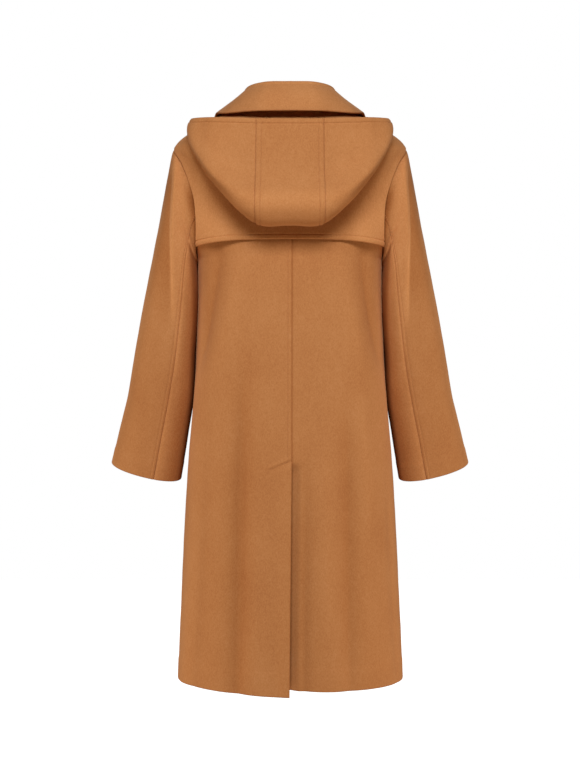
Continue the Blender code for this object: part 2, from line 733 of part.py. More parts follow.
def build_patch(name, centre_x, centre_z, cord_side, leather):
    """A sewn-down leather patch that bulges over the ends of the cord."""
    across = np.linspace(-1, 1, PATCH_GRID)
    u, v = np.meshgrid(across, across)
    round_u = u * np.sqrt(1 - PATCH_ROUNDING * v * v)
    round_v = v * np.sqrt(1 - PATCH_ROUNDING * u * u)
    x = centre_x + round_u * PATCH_WIDTH / 2
    z = centre_z + round_v * PATCH_HEIGHT / 2
    over_cord = (1 - ease(np.abs(v), PATCH_BULGE_HEIGHT, 1)) * ease(u * cord_side, *PATCH_BULGE_START)
    bulge = (2 * CORD_RADIUS + SEAM_GAP) * over_cord
    outer = front_point(x, z, SEAM_GAP + PATCH_LEATHER + bulge)
    inner = front_point(x, z, SEAM_GAP + bulge)
    cloth_wall(name, outer, inner, leather)


def build_cord(name, start_x, turn_x, z, spread, start_lift, turn_lift, cord):
    """A cord that runs out from under its patch, turns round a half circle and runs back."""
    way = math.copysign(1, turn_x - start_x)
    run = np.linspace(start_x, turn_x - way * spread, CORD_RUN_POINTS)
    bend = np.linspace(math.pi / 2, -math.pi / 2, CORD_BEND_POINTS + 2)[1:-1]
    x = np.concatenate([run, run[-1] + way * spread * np.cos(bend), run[::-1]])
    upper = np.full(CORD_RUN_POINTS, spread)
    rise = np.concatenate([upper, spread * np.sin(bend), -upper])
    share = (x - start_x) / (turn_x - start_x)
    lift = start_lift + (turn_lift - start_lift) * ease(share, *TETHER_RISE)
    points = front_point(x, z + rise, lift)
    curve = bpy.data.curves.new(name, "CURVE")
    curve.dimensions = "3D"
    curve.bevel_depth = CORD_RADIUS
    curve.bevel_resolution = 1
    curve.use_fill_caps = True
    spline = curve.splines.new("POLY")
    spline.points.add(len(points) - 1)
    for point, place in zip(spline.points, points):
        point.co = (*place, 1.0)
    placed(name, curve, cord)


def build_toggle(name, z, lift, horn):
    """A horn toggle, turned round its long axis, which lies level over the front edge."""
    centre = front_point(np.array(TOGGLE_X), np.array(z), lift)
    profile = [(-p.along, p.radius) for p in TOGGLE[:0:-1]] + [(p.along, p.radius) for p in TOGGLE]
    turns = np.arange(TURNED_SIDES) * 2 * math.pi / TURNED_SIDES
    bm = bmesh.new()
    rings = []
    for along, radius in profile:
        ring = [centre + np.array([along, radius * math.cos(t), radius * math.sin(t)]) for t in turns]
        rings.append([bm.verts.new(p) for p in ring])
    for a, b in zip(rings, rings[1:]):
        for i in range(TURNED_SIDES):
            j = (i + 1) % TURNED_SIDES
            bm.faces.new((a[i], a[j], b[j], b[i]))
    bm.faces.new(rings[0])
    bm.faces.new(rings[-1])
    mesh_from(name, bm, horn)


def build_fastening(cord, leather, horn):
    """Four rows: each has a loop on the right front, and a tether with its toggle on the left."""
    cord_lift = SEAM_GAP + CORD_RADIUS
    over_loop = cord_lift + 2 * CORD_RADIUS + SEAM_GAP
    toggle_lift = over_loop + CORD_RADIUS + SEAM_GAP + max(column(TOGGLE, "radius"))
    loop_start = LOOP_PATCH_X - CORD_TUCK
    loop_end = TOGGLE_X - LOOP_REACH
    tether_start = TETHER_PATCH_X + CORD_TUCK
    tether_end = TOGGLE_X + TETHER_REACH
    for number, z in enumerate(TOGGLE_HEIGHTS, start=1):
        build_patch(f"loop_patch_{number}", LOOP_PATCH_X, z, -1, leather)
        build_patch(f"tether_patch_{number}", TETHER_PATCH_X, z, 1, leather)
        build_cord(f"loop_{number}", loop_start, loop_end, z, LOOP_SPREAD, cord_lift, cord_lift, cord)
        build_cord(f"tether_{number}", tether_start, tether_end, z, TETHER_SPREAD, cord_lift, over_loop, cord)
        build_toggle(f"toggle_{number}", z, toggle_lift, horn)


def main():
    for thing in list(bpy.data.objects):
        bpy.data.objects.remove(thing, do_unlink=True)
    wool = material("wool", CAMEL, 0.9)
    build_backs(wool)
    build_fronts(wool)
    build_yoke(wool)
    build_sleeves(wool)
    build_collar(wool)
    build_hood(wool)
    cord = material("cord", CORD_BROWN, 0.8)
    leather = material("leather", LEATHER_BROWN, 0.6)
    horn = material("horn", HORN, 0.4)
    build_fastening(cord, leather, horn)


main()
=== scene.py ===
import math

import bpy
import numpy as np
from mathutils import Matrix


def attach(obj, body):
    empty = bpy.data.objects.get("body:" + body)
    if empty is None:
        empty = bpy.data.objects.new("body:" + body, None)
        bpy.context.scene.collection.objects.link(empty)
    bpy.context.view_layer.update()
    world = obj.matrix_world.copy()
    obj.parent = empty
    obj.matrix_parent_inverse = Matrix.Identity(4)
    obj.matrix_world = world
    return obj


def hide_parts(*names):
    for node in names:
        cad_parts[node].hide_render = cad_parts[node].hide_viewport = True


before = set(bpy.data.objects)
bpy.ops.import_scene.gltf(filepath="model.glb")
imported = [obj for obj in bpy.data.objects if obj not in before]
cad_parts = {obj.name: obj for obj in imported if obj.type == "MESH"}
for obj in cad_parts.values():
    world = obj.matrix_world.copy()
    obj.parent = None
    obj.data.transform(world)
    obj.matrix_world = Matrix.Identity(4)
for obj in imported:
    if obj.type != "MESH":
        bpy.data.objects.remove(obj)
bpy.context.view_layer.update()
scene = bpy.context.scene
print("frame loaded:", len(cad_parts), "nodes")

camera = {
    "place": (0.0, -2.9, -0.53),
    "lens": 69.25,
    "sensor": 36.0,
}
lens = bpy.data.cameras.new("camera")
lens.lens = camera["lens"]
lens.sensor_width = camera["sensor"]
eye = bpy.data.objects.new("camera", lens)
eye.location = camera["place"]
eye.rotation_euler = (math.radians(90), 0, 0)
scene.collection.objects.link(eye)
scene.camera = eye


# small maths

def smooth(at, known, values):
    # cubic Hermite curve through a table's values, whose known positions ascend
    known = np.asarray(known, float)
    values = np.asarray(values, float)
    at = np.clip(np.asarray(at, float), known[0], known[-1])
    wide = (-1,) + (1,) * (values.ndim - 1)
    steps = np.diff(known)
    slopes = np.diff(values, axis=0) / steps.reshape(wide)
    before = (steps[1:] / (steps[:-1] + steps[1:])).reshape(wide)
    tangents = np.empty_like(values)
    tangents[0] = slopes[0]
    tangents[-1] = slopes[-1]
    tangents[1:-1] = before * slopes[:-1] + (1 - before) * slopes[1:]
    i = np.clip(np.searchsorted(known, at, side="right") - 1, 0, len(steps) - 1)
    shape = at.shape + (1,) * (values.ndim - 1)
    h = steps[i].reshape(shape)
    t = ((at - known[i]) / steps[i]).reshape(shape)
    return (
        values[i] * (1 + 2 * t) * (1 - t) ** 2
        + tangents[i] * h * t * (1 - t) ** 2
        + values[i + 1] * t * t * (3 - 2 * t)
        + tangents[i + 1] * h * t * t * (t - 1)
    )


def ease(at, start, end):
    t = np.clip((np.asarray(at, float) - start) / (end - start), 0, 1)
    return t * t * (3 - 2 * t)


def bell(at, centre, width):
    return np.exp(-(((np.asarray(at, float) - centre) / width) ** 2))


def unit(v):
    return v / np.maximum(np.linalg.norm(v, axis=-1, keepdims=True), 1e-12)


def lengths(line):
    return np.concatenate([[0], np.cumsum(np.linalg.norm(np.diff(line, axis=0), axis=1))])


def alongLine(line, at, values=None):
    # the line's points, or other values that it carries, at distances along it
    reach = lengths(line)
    values = line if values is None else values
    return np.stack([np.interp(at, reach, values[:, k]) for k in range(values.shape[1])], axis=-1)


def mirrored(points):
    return points * np.array([-1.0, 1.0, 1.0])


def whole(half):
    # both sides of a grid whose first column is at the centre back
    return np.concatenate([mirrored(half[:, :0:-1]), half], axis=1)


def sheetNormals(grid):
    return unit(np.cross(np.gradient(grid, axis=1), np.gradient(grid, axis=0)))


def facing(normals, grid, middle):
    # the normals, turned if need be so that they point away from the middle
    away = ((grid - middle) * normals).sum()
    return normals if away > 0 else -normals


# the waves that the cloth's unevenness is made of: how many, how their ways, lengths and starts
# scatter, and what brings their sum back to about 1
waves = {"count": 7, "turn": 2.399963, "tilt": 1.7, "length": 0.7, "shorter": 0.11, "start": 1.9, "calm": 5}


def uneven(p, height, wave, stretch, turn):
    # slow unevenness up to a height, in waves that are drawn out down the cloth and turned some way
    total = 0.0
    for k in range(waves["count"]):
        angle = waves["turn"] * k + turn
        way = np.array([math.cos(angle), math.sin(angle), math.sin(waves["tilt"] * k + turn) / stretch])
        finer = waves["length"] + waves["shorter"] * k
        total = total + np.sin(p @ way * (2 * math.pi / wave) * finer + waves["start"] * k * k)
    return height * total / waves["calm"]


# the torso's form: a stack of superellipses, open at the armholes

torso = {
    "hem": -1.095,
    "ventTop": -0.672,
    "underarm": -0.285,
    "yokeHem": -0.263,
    "shoulder": -0.065,
    "armholeBack": 0.076,
    "armholeFront": 0.068,
    "armholeSkew": 0.28,
    "neckDrop": {"back": 0.012, "front": 0.086},
    "neckBend": {"back": 3, "front": 1},
    "neckCurve": 1.4,
    "lap": 0.037,
    "armholeRows": 52,
    "shoulderRows": 26,
    "shoulderCrowding": 1.35,     # above 1 the rows lie closer together towards the neck
    "ringPoints": 200,
    "normalStep": 2e-5,
    "seatingMoves": 6,
}
# height, half width at the panel's edge, depth behind, depth in front, squareness
torsoLevels = np.array([
    (-1.110, 0.2190, 0.1640, 0.1580, 2.25),
    (-1.020, 0.2160, 0.1600, 0.1555, 2.25),
    (-0.946, 0.2125, 0.1560, 0.1530, 2.25),
    (-0.751, 0.2035, 0.1470, 0.1480, 2.30),
    (-0.650, 0.1965, 0.1430, 0.1455, 2.35),
    (-0.556, 0.1880, 0.1390, 0.1430, 2.40),
    (-0.450, 0.1815, 0.1350, 0.1410, 2.45),
    (-0.361, 0.1778, 0.1320, 0.1400, 2.50),
    (-0.285, 0.1780, 0.1310, 0.1380, 2.50),
    (-0.250, 0.1785, 0.1310, 0.1365, 2.50),
    (-0.210, 0.1790, 0.1305, 0.1345, 2.50),
    (-0.172, 0.1830, 0.1290, 0.1310, 2.50),
    (-0.136, 0.1940, 0.1250, 0.1230, 2.48),
    (-0.102, 0.2080, 0.1195, 0.1090, 2.42),
    (-0.065, 0.2205, 0.1085, 0.0920, 2.32),
    (-0.046, 0.2000, 0.0995, 0.0830, 2.25),
    (-0.026, 0.1600, 0.0880, 0.0730, 2.15),
    (-0.011, 0.1200, 0.0780, 0.0660, 2.05),
    (0.000, 0.0820, 0.0680, 0.0600, 2.00),
])


def armholeDepth(z, side):
    share = np.clip((z - torso["underarm"]) / (torso["shoulder"] - torso["underarm"]), 0, 1)
    turn = np.arccos(1 - 2 * share)
    reach = torso["armholeBack"] if side == "back" else torso["armholeFront"]
    return reach * np.sin(turn) * (1 + torso["armholeSkew"] * np.cos(turn))


def torsoSize(z, side):
    heights = torsoLevels[:, 0]
    edge = smooth(z, heights, torsoLevels[:, 1])
    depth = smooth(z, heights, torsoLevels[:, 2 if side == "back" else 3])
    power = smooth(z, heights, torsoLevels[:, 4])
    edgeDepth = armholeDepth(z, side)
    width = edge / (1 - (edgeDepth / depth) ** power) ** (1 / power)
    return width, depth, power, edgeDepth


def torsoLevel(p):
    # 0 on the torso's surface, and more outside it
    x = np.abs(p[..., 0])
    y = p[..., 1]
    values = []
    for side in ("back", "front"):
        width, depth, power, _ = torsoSize(p[..., 2], side)
        values.append(1 - ((x / width) ** power + (np.abs(y) / depth) ** power) ** (-1 / power))
    return np.where(y < 0, values[0], values[1])


def torsoGradient(p):
    step = torso["normalStep"]
    parts = [(torsoLevel(p + move) - torsoLevel(p - move)) / (2 * step) for move in np.eye(3) * step]
    return np.stack(parts, axis=-1)


def torsoNormals(p):
    return unit(torsoGradient(p))


def torsoPoint(x, z, side):
    width, depth, power, _ = torsoSize(z, side)
    share = np.clip(np.abs(x) / width, 0, 1)
    y = depth * (1 - share**power) ** (1 / power)
    return np.stack([x, -y if side == "back" else y, np.broadcast_to(z, np.shape(x))], axis=-1)


def seated(p, clearance):
    # the points, moved out where they lie nearer to the torso than the clearance
    for _ in range(torso["seatingMoves"]):
        gradient = torsoGradient(p)
        size = np.maximum(np.linalg.norm(gradient, axis=-1), 1e-9)
        short = np.maximum(clearance - torsoLevel(p) / size, 0) * (p[..., 2] < 0)
        p = p + gradient / size[..., None] * short[..., None]
    return p


# how close together a cloth wall's points lie: round its rolled edge, just past it in shares of the
# edge's radius, across a line of stitching in mm, the least distance before that, and the least rise
# from a panel's lower edge to the armhole's rows
fineness = {
    "round": 5,
    "past": (1.7, 2.6),
    "stitches": (-2.6, -1.7, -1.0, -0.5, 0, 0.5, 1.0, 1.7, 2.6),
    "least": 0.0004,
    "rise": 0.001,
}


def fineSteps(radius, stitch=0.0):
    # distances in from a rounded edge, close together there and where a line of stitching lies
    turn = np.linspace(0, math.pi / 2, fineness["round"])
    steps = np.append(radius * (1 - np.cos(turn)), radius * np.array(fineness["past"]))
    if stitch:
        line = stitch + np.array(fineness["stitches"]) / 1000
        steps = steps[steps < line[0] - fineness["least"]]
        between = np.linspace(steps[-1], line[0], 3)[1:-1]
        steps = np.concatenate([steps, between, line])
    return steps


def armholeHeight(turn):
    # from the underarm at no turn up to the shoulder at half a turn
    return torso["underarm"] + (torso["shoulder"] - torso["underarm"]) * (1 - np.cos(turn)) / 2


def panelHeights(bottom, bottomSteps, rows):
    # heights of a torso panel's rows, close together at its lower edge
    armhole = armholeHeight(np.linspace(0, math.pi, torso["armholeRows"]))
    share = np.linspace(0, 1, torso["shoulderRows"])[1:]
    shoulder = torso["shoulder"] * (1 - share) ** torso["shoulderCrowding"]
    low = bottom + bottomSteps
    if bottom < torso["underarm"]:
        middle = np.linspace(low[-1], torso["underarm"], rows + 2)[1:-1]
    else:
        middle = []
        armhole = armhole[armhole > low[-1] + fineness["rise"]]
    return np.concatenate([low, middle, armhole, shoulder])


def panelGrid(side, heights, startSteps, endSteps, count, laps=None):
    # the right half of a torso panel: rows go up, and columns run from the centre to the edge
    # laps holds each row's distances past the centre, as negative numbers
    rows, fromCentre, widths = [], [], []
    for r, height in enumerate(heights):
        width, depth, power, edgeDepth = torsoSize(height, side)
        turn = np.linspace(0, math.acos((edgeDepth / depth) ** (power / 2)), torso["ringPoints"])
        ringX = width * np.sin(turn) ** (2 / power)
        ringY = depth * np.cos(turn) ** (2 / power)
        reach = lengths(np.stack([ringX, ringY], axis=-1))
        total = reach[-1]
        between = np.linspace(startSteps[-1], total - endSteps[-1], count + 2)[1:-1]
        at = np.concatenate([startSteps, between, total - endSteps[::-1]])
        if laps is not None:
            at = np.concatenate([laps[r], at])
        x = np.where(at < 0, at, np.interp(at, reach, ringX))
        fall = torso["neckDrop"][side] * ease(height, torso["underarm"], 0) ** torso["neckBend"][side]
        z = height - fall * (1 - (np.maximum(x, 0) / ringX[-1]) ** torso["neckCurve"])
        rows.append(torsoPoint(x, z, side))
        fromCentre.append(at)
        widths.append(total)
    return np.array(rows), np.array(fromCentre), np.array(widths)


# the coat's folds. Each is a row: where it starts and ends round the coat, where it starts and
# ends in height, how far it stands out in mm (in is negative) and how wide it is in mm.
# Round the coat is 0 at the centre back, 1 at the side seams and 2 at the centre front, with the
# wearer's left negative.
bodyFolds = [
    (-0.49, -0.80, -0.20, -0.54, -9.5, 23),
    (0.50, 0.78, -0.20, -0.53, -9.5, 23),
    (-0.30, -0.65, -0.21, -0.58, 3.5, 22),
    (0.30, 0.63, -0.20, -0.58, 3.5, 22),
    (-0.35, -0.32, -0.40, -1.30, -14.0, 17),
    (0.105, 0.085, -0.60, -1.30, -6.5, 12),
    (0.41, 0.36, -0.48, -1.25, -9.0, 16),
    (0.23, 0.24, -0.56, -1.12, 3.5, 18),
    (0.52, 0.55, -0.50, -0.86, 3.0, 16),
    (-0.62, -0.66, -0.62, -1.25, -3.5, 18),
    (-0.20, -0.21, -0.70, -1.20, 2.0, 26),
    (0.74, 0.78, -0.60, -1.25, -3.0, 18),
    (-0.86, -0.87, -0.58, -1.25, -2.0, 20),
    (1.14, 1.20, -0.32, -1.25, -7.0, 17),
    (-1.12, -1.17, -0.34, -1.25, -8.0, 18),
    (1.33, 1.42, -0.40, -1.25, 5.0, 24),
    (-1.30, -1.38, -0.38, -1.20, 5.0, 22),
    (1.52, 1.58, -0.48, -1.25, -7.0, 16),
    (-1.50, -1.57, -0.55, -1.25, -8.0, 17),
    (1.70, 1.72, -0.66, -1.25, -4.0, 20),
    (-1.74, -1.76, -0.62, -1.25, -4.5, 16),
]
folding = {
    "crest": 0.346,           # with the roundness it makes a crest of height 1 with long soft sides
    "roundness": 0.12,
    "grown": 0.35,            # shares of a fold's length where it is full, and where it starts to fade
    "fading": 0.62,
    "toneByHeight": 9,        # painted shade in troughs and painted light on ridges: a centimetre of fold paints a tenth
    "darkest": -0.10,
    "lightest": 0.05,
    "heldWidth": 0.16,        # under the arm the side seams are held against the sleeves
    "heldFrom": (-0.52, -0.44),
    "heldOut": 0.0004,
}


# painted shade in a fold's trough and painted light on its ridge, from how far the fold moves the cloth
def foldPaintedShading(offset):
    return np.clip(offset * folding["toneByHeight"], folding["darkest"], folding["lightest"])


def foldShape(share, across, grown, fading):
    # a fold's height at a share of its length and a distance across it in its own widths
    shape = np.exp(folding["crest"] - np.sqrt(across * across + folding["roundness"]))
    return shape * ease(share, 0, grown) * (1 - ease(share, fading, 1))


def foldField(folds, around, z, total):
    # how far the folds move the cloth, for its share of the way round and its height
    offset = np.zeros_like(z)
    for start, end, top, bottom, height, width in folds:
        share = np.clip((z - top) / (bottom - top), 0, 1)
        across = (around - start - (end - start) * share) * total / (width / 1000)
        offset += height / 1000 * foldShape(share, across, folding["grown"], folding["fading"])
    held = bell(np.abs(around), 1, folding["heldWidth"]) * ease(z, *folding["heldFrom"])
    return offset * (1 - held) + folding["heldOut"] * held


# cloth walls

thinnestEdge = 0.06     # what is left of a wall's thickness at its very edge
# what cloth that is turned in adds to a wall's thickness, and how far its inner edge blends out
turnings = {"hem": 0.5, "facing": 0.35, "blend": 0.003}


def distances(grid):
    # distances of a grid's points from its first row, last row, first column and last column
    down = np.cumsum(np.linalg.norm(np.diff(grid, axis=0), axis=2), axis=0)
    down = np.vstack([np.zeros((1, grid.shape[1])), down])
    across = np.cumsum(np.linalg.norm(np.diff(grid, axis=1), axis=2), axis=1)
    across = np.hstack([np.zeros((grid.shape[0], 1)), across])
    return down, down[-1] - down, across, across[:, -1:] - across


def turnedIn(fromEdge, deep):
    # 1 where the cloth is turned in along an edge, and 0 beyond
    return 1 - ease(fromEdge, deep - turnings["blend"], deep + turnings["blend"])


def meshPiece(name, points, faces, stuff, ends=()):
    mesh = bpy.data.meshes.new(name)
    mesh.from_pydata(points.tolist(), [], faces.tolist() + list(ends))
    mesh.shade_smooth()
    mesh.materials.append(stuff)
    mesh.update()
    piece = bpy.data.objects.new(name, mesh)
    scene.collection.objects.link(piece)
    return piece


def shell(name, grid, normals, thickness, stuff, rounding, lift=0.0, fuller=1.0, paintedShading=0.0):
    # a closed wall of cloth whose outer face is the grid, moved out by lift
    # rounding is the radius at the first row, last row, first column and last column
    # the last argument is painted light and shade: the share by which the cloth's colour there is painted
    # lighter, or painted darker as shade if it is negative
    share = 1.0
    for away, radius in zip(distances(grid), rounding):
        t = np.clip(away / radius, 0, 1)
        share = share * np.maximum(np.sqrt(1 - (1 - t) ** 2), thinnestEdge)
    half = (share * fuller * thickness / 2)[..., None]
    middle = grid + normals * (np.broadcast_to(lift, share.shape)[..., None] - thickness / 2)
    outer, inner = middle + normals * half, middle - normals * half
    rows, columns = share.shape
    number = np.arange(rows * columns).reshape(rows, columns)
    a, b, c, d = (n.ravel() for n in (number[:-1, :-1], number[:-1, 1:], number[1:, 1:], number[1:, :-1]))
    back = rows * columns
    rim = np.concatenate([number[0], number[1:, -1], number[-1, -2::-1], number[-2:0:-1, 0]])
    rolled = np.roll(rim, -1)
    faces = np.concatenate([
        np.stack([a, b, c, d], 1),
        np.stack([a + back, d + back, c + back, b + back], 1),
        np.stack([rim, rim + back, rolled + back, rolled], 1),
    ])
    r, c = rows // 2, columns // 2
    turned = np.cross(outer[r, c + 1] - outer[r, c], outer[r + 1, c] - outer[r, c])
    if turned @ normals[r, c] < 0:
        faces = faces[:, ::-1]
    piece = meshPiece(name, np.concatenate([outer.reshape(-1, 3), inner.reshape(-1, 3)]), faces, stuff)
    paintedShadings = np.zeros((2,) + share.shape)
    paintedShadings[0] = paintedShading
    piece.data.attributes.new("paintedShading", "FLOAT", "POINT").data.foreach_set("value", paintedShadings.ravel())
    return piece


def clothPiece(piece):
    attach(piece, "root")
    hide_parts(piece.name.removesuffix("_cloth"))


# stitches and seams

stitching = {
    "pitch": 0.0042,
    "bar": 0.0031,
    "start": 0.12,        # in pitches, where the first bar starts
    "radius": 0.00045,
    "height": 0.0004,
    # along a bar, its radius and height in shares of those two: it dips in at both ends
    "radii": (0.35, 0.9, 1.0, 0.9, 0.35),
    "heights": (-1.6, 0.2, 0.6, 0.2, -1.6),
    "sides": 6,
    "channel": 0.0012,
    "fullness": 0.7,      # below 1 the roll beside the stitches is fuller than an arch
}
seaming = {
    "depth": 0.0005,
    "width": 0.0035,
    "ridge": 0.0003,      # the allowance pressed open under the cloth
    "ridgeAway": 0.009,
    "ridgeWidth": 0.005,
    "paintedShading": -0.10,        # painted shade: a thin dark line painted along a seam, where its groove is
    "toneWidth": 0.0017,
}


def stitchedEdge(away, stitch, raised=0.0006, depth=0.0009):
    # the channel that a line of stitching draws into the cloth, and the roll that it holds up
    roll = np.sin(np.clip(away / stitch, 0, 1) * math.pi) ** stitching["fullness"]
    return raised * roll - depth * bell(away, stitch, stitching["channel"])


def seamGroove(away):
    # the dip beside a seam, and the ridge of its allowance
    ridge = seaming["ridge"] * bell(away, seaming["ridgeAway"], seaming["ridgeWidth"])
    return ridge - seaming["depth"] * bell(away, 0, seaming["width"])


# the thin line of painted shade along a seam
def seamPaintedShade(away):
    return seaming["paintedShading"] * bell(away, 0, seaming["toneWidth"])


def ringsRound(centre, side, up, reach):
    # rings of points round a line's points, each as far out as reach says
    turns = np.arange(reach.shape[-1]) * 2 * math.pi / reach.shape[-1]
    return (
        centre[..., None, :]
        + side[..., None, :] * (reach * np.cos(turns))[..., None]
        + up[..., None, :] * (reach * np.sin(turns))[..., None]
    )


def tubeFaces(rings, sides):
    i, j = np.meshgrid(np.arange(rings - 1), np.arange(sides), indexing="ij")
    k = (j + 1) % sides
    corners = [i * sides + j, i * sides + k, (i + 1) * sides + k, (i + 1) * sides + j]
    return np.stack(corners, axis=-1).reshape(-1, 4)


def stitchLine(line, normals):
    # one run of lockstitch along a line on the cloth
    radii = stitching["radius"] * np.array(stitching["radii"])
    heights = stitching["height"] * np.array(stitching["heights"])
    rings, sides = len(radii), stitching["sides"]
    total = lengths(line)[-1]
    count = max(int(total / stitching["pitch"]), 1)
    starts = (np.arange(count) + stitching["start"]) * total / count
    at = (starts[:, None] + np.linspace(0, stitching["bar"], rings)).ravel()
    centre = alongLine(line, at).reshape(count, rings, 3)
    up = unit(alongLine(line, at, normals)).reshape(count, rings, 3)
    way = unit(centre[:, -1:] - centre[:, :1])
    side = unit(np.cross(up, way))
    points = ringsRound(centre + up * heights[:, None], side, up, np.tile(radii[:, None], sides))
    firsts = np.arange(count)[:, None, None] * rings * sides
    return points.reshape(-1, 3), (tubeFaces(rings, sides) + firsts).reshape(-1, 4)


def threadPiece(name, runs, stuff):
    points, faces, first = [], [], 0
    for line, normals in runs:
        runPoints, runFaces = stitchLine(line, normals)
        points.append(runPoints)
        faces.append(runFaces + first)
        first += len(runPoints)
    piece = meshPiece(name, np.concatenate(points), np.concatenate(faces), stuff)
    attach(piece, "root")
    return piece


def lineAt(grid, away, distance, axis):
    # the line over a grid that keeps a distance from one of its edges
    grid, away = (grid, away) if axis else (grid.swapaxes(0, 1), away.T)
    line = []
    for points, offsets in zip(grid, away):
        order = np.argsort(offsets)
        line.append([np.interp(distance, offsets[order], points[order, k]) for k in range(3)])
    return np.array(line)


# materials

def linear(hexColour):
    shades = [int(hexColour[k:k + 2], 16) / 255 for k in (1, 3, 5)]
    return tuple(s / 12.92 if s <= 0.04045 else ((s + 0.055) / 1.055) ** 2.4 for s in shades) + (1.0,)


def feed(stuff, node, links):
    for key, source in links.items():
        stuff.node_tree.links.new(source, node.inputs[key])


def addNode(stuff, kind, settings=None, links=None):
    # a node with values for its properties and sockets, and what its other sockets are fed from
    node = stuff.node_tree.nodes.new(kind)
    for key, value in (settings or {}).items():
        if isinstance(key, int) or key in node.inputs.keys():
            node.inputs[key].default_value = value
        else:
            setattr(node, key, value)
    feed(stuff, node, links or {})
    return node


def newMaterial(name, **shader):
    stuff = bpy.data.materials.new(name)
    stuff.use_nodes = True
    principled = stuff.node_tree.nodes["Principled BSDF"]
    for key, value in shader.items():
        principled.inputs[key].default_value = value
    return stuff, principled


def colourRamp(stuff, source, stops):
    ramp = addNode(stuff, "ShaderNodeValToRGB", links={"Fac": source})
    elements = ramp.color_ramp.elements
    while len(elements) < len(stops):
        elements.new(0.5)
    for element, (place, hexColour) in zip(elements, stops):
        element.position = place
        element.color = linear(hexColour)
    return ramp.outputs["Color"]


wool = {
    "shades": ((0.34, "#B37444"), (0.5, "#BE804C"), (0.66, "#C68A57")),
    "fibreMm": 2.2,      # real fibres are finer, drawn as coarse as shows at arm's length
    "clumpMm": 6.5,
    "mottleMm": 80,
    "clumpShare": 0.34,
    "fibreShare": 0.56,
    "napStretch": 0.65,
    "bumpMm": 0.10,
    "sheen": 0.22,
    # how the painted light and shade work on the cloth's colour: on the power that deepens it and on its
    # strength, each for every value and once more for values below 0, which are painted shade, and on the
    # sheen for painted shade
    "power": (-0.3, -0.5),
    "strength": (1.4, -0.6),
    "darkSheen": 0.6,
}


def makeWoolMelton():
    # camel wool melton, milled and brushed: matt, with a short nap that catches light at grazing
    # angles, and fibres of a few close shades
    stuff, shader = newMaterial("camelWoolMelton", **{
        "Roughness": 0.95, "Specular IOR Level": 0.12, "Sheen Weight": wool["sheen"],
        "Sheen Roughness": 0.45, "Sheen Tint": linear("#EFC79E"),
    })
    place = addNode(stuff, "ShaderNodeTexCoord").outputs["Object"]
    nap = addNode(stuff, "ShaderNodeMapping", {"Scale": (1, 1, wool["napStretch"])}, {"Vector": place})
    fibres, clumps, mottle = (
        addNode(stuff, "ShaderNodeTexNoise", {"Scale": 1000 / size, "Detail": detail, "Roughness": 0.6},
                {"Vector": nap.outputs["Vector"]}).outputs["Fac"]
        for size, detail in ((wool["fibreMm"], 3), (wool["clumpMm"], 2), (wool["mottleMm"], 2))
    )
    mix = mottle
    for noise, share in ((clumps, wool["clumpShare"]), (fibres, wool["fibreShare"])):
        mix = addNode(stuff, "ShaderNodeMix", {0: share}, {2: mix, 3: noise}).outputs[0]
    # painted light makes the colour lighter, and painted shade makes it darker, deeper and redder
    paintedShading = addNode(stuff, "ShaderNodeAttribute", {"attribute_name": "paintedShading"}).outputs["Fac"]
    dark = addNode(stuff, "ShaderNodeMath", {"operation": "MINIMUM", 1: 0.0}, {0: paintedShading}).outputs[0]
    levels = []
    for factor, darkFactor in (wool["power"], wool["strength"]):
        plain = addNode(stuff, "ShaderNodeMath", {"operation": "MULTIPLY_ADD", 1: factor, 2: 1.0}, {0: paintedShading})
        levels.append(addNode(stuff, "ShaderNodeMath", {"operation": "MULTIPLY_ADD", 1: darkFactor},
                              {0: dark, 2: plain.outputs[0]}).outputs[0])
    power, strength = levels
    deeper = addNode(stuff, "ShaderNodeGamma", None,
                     {"Color": colourRamp(stuff, mix, wool["shades"]), "Gamma": power})
    toned = addNode(stuff, "ShaderNodeVectorMath", {"operation": "SCALE"},
                    {"Vector": deeper.outputs["Color"], "Scale": strength})
    # where shade is painted the sheen is turned down as well
    sheen = addNode(stuff, "ShaderNodeMath",
                    {"operation": "MULTIPLY_ADD", "use_clamp": True, 1: wool["darkSheen"], 2: wool["sheen"]},
                    {0: dark})
    height = addNode(stuff, "ShaderNodeMix", {0: 0.5}, {2: clumps, 3: fibres}).outputs[0]
    bump = addNode(stuff, "ShaderNodeBump", {"Strength": 1.0, "Distance": wool["bumpMm"] / 1000},
                   {"Height": height})
    feed(stuff, shader, {"Base Color": toned.outputs["Vector"], "Sheen Weight": sheen.outputs[0],
                         "Normal": bump.outputs["Normal"]})
    return stuff


def makeThread():
    # spun polyester sewing thread, matched to the cloth: a little glossier and a shade darker
    return newMaterial("camelThread", **{
        "Base Color": linear("#BC7D49"), "Roughness": 0.6, "Specular IOR Level": 0.3, "Sheen Weight": 0.1,
    })[0]


jute = {
    "shades": ((0.3, "#4A3120"), (0.7, "#7C5A3C")),
    "fibreMm": 0.6,      # real fibres are finer, drawn as coarse as shows on the cord
    "bumpMm": 0.2,
}


def makeCord():
    # twisted jute cord: dry and matt, in uneven browns
    stuff, shader = newMaterial("twistedCord", Roughness=0.85)
    place = addNode(stuff, "ShaderNodeTexCoord").outputs["Object"]
    fibres = addNode(stuff, "ShaderNodeTexNoise", {"Scale": 1000 / jute["fibreMm"], "Detail": 3},
                     {"Vector": place}).outputs["Fac"]
    bump = addNode(stuff, "ShaderNodeBump", {"Strength": 0.6, "Distance": jute["bumpMm"] / 1000},
                   {"Height": fibres})
    feed(stuff, shader, {"Base Color": colourRamp(stuff, fibres, jute["shades"]),
                         "Normal": bump.outputs["Normal"]})
    return stuff


cowhide = {
    "shades": ((0.3, "#3A2114"), (0.7, "#5B3722")),
    "patinaMm": 9,
    "pebbleMm": 1.1,
    "bumpMm": 0.25,
    "roughness": {"To Min": 0.42, "To Max": 0.62},
}


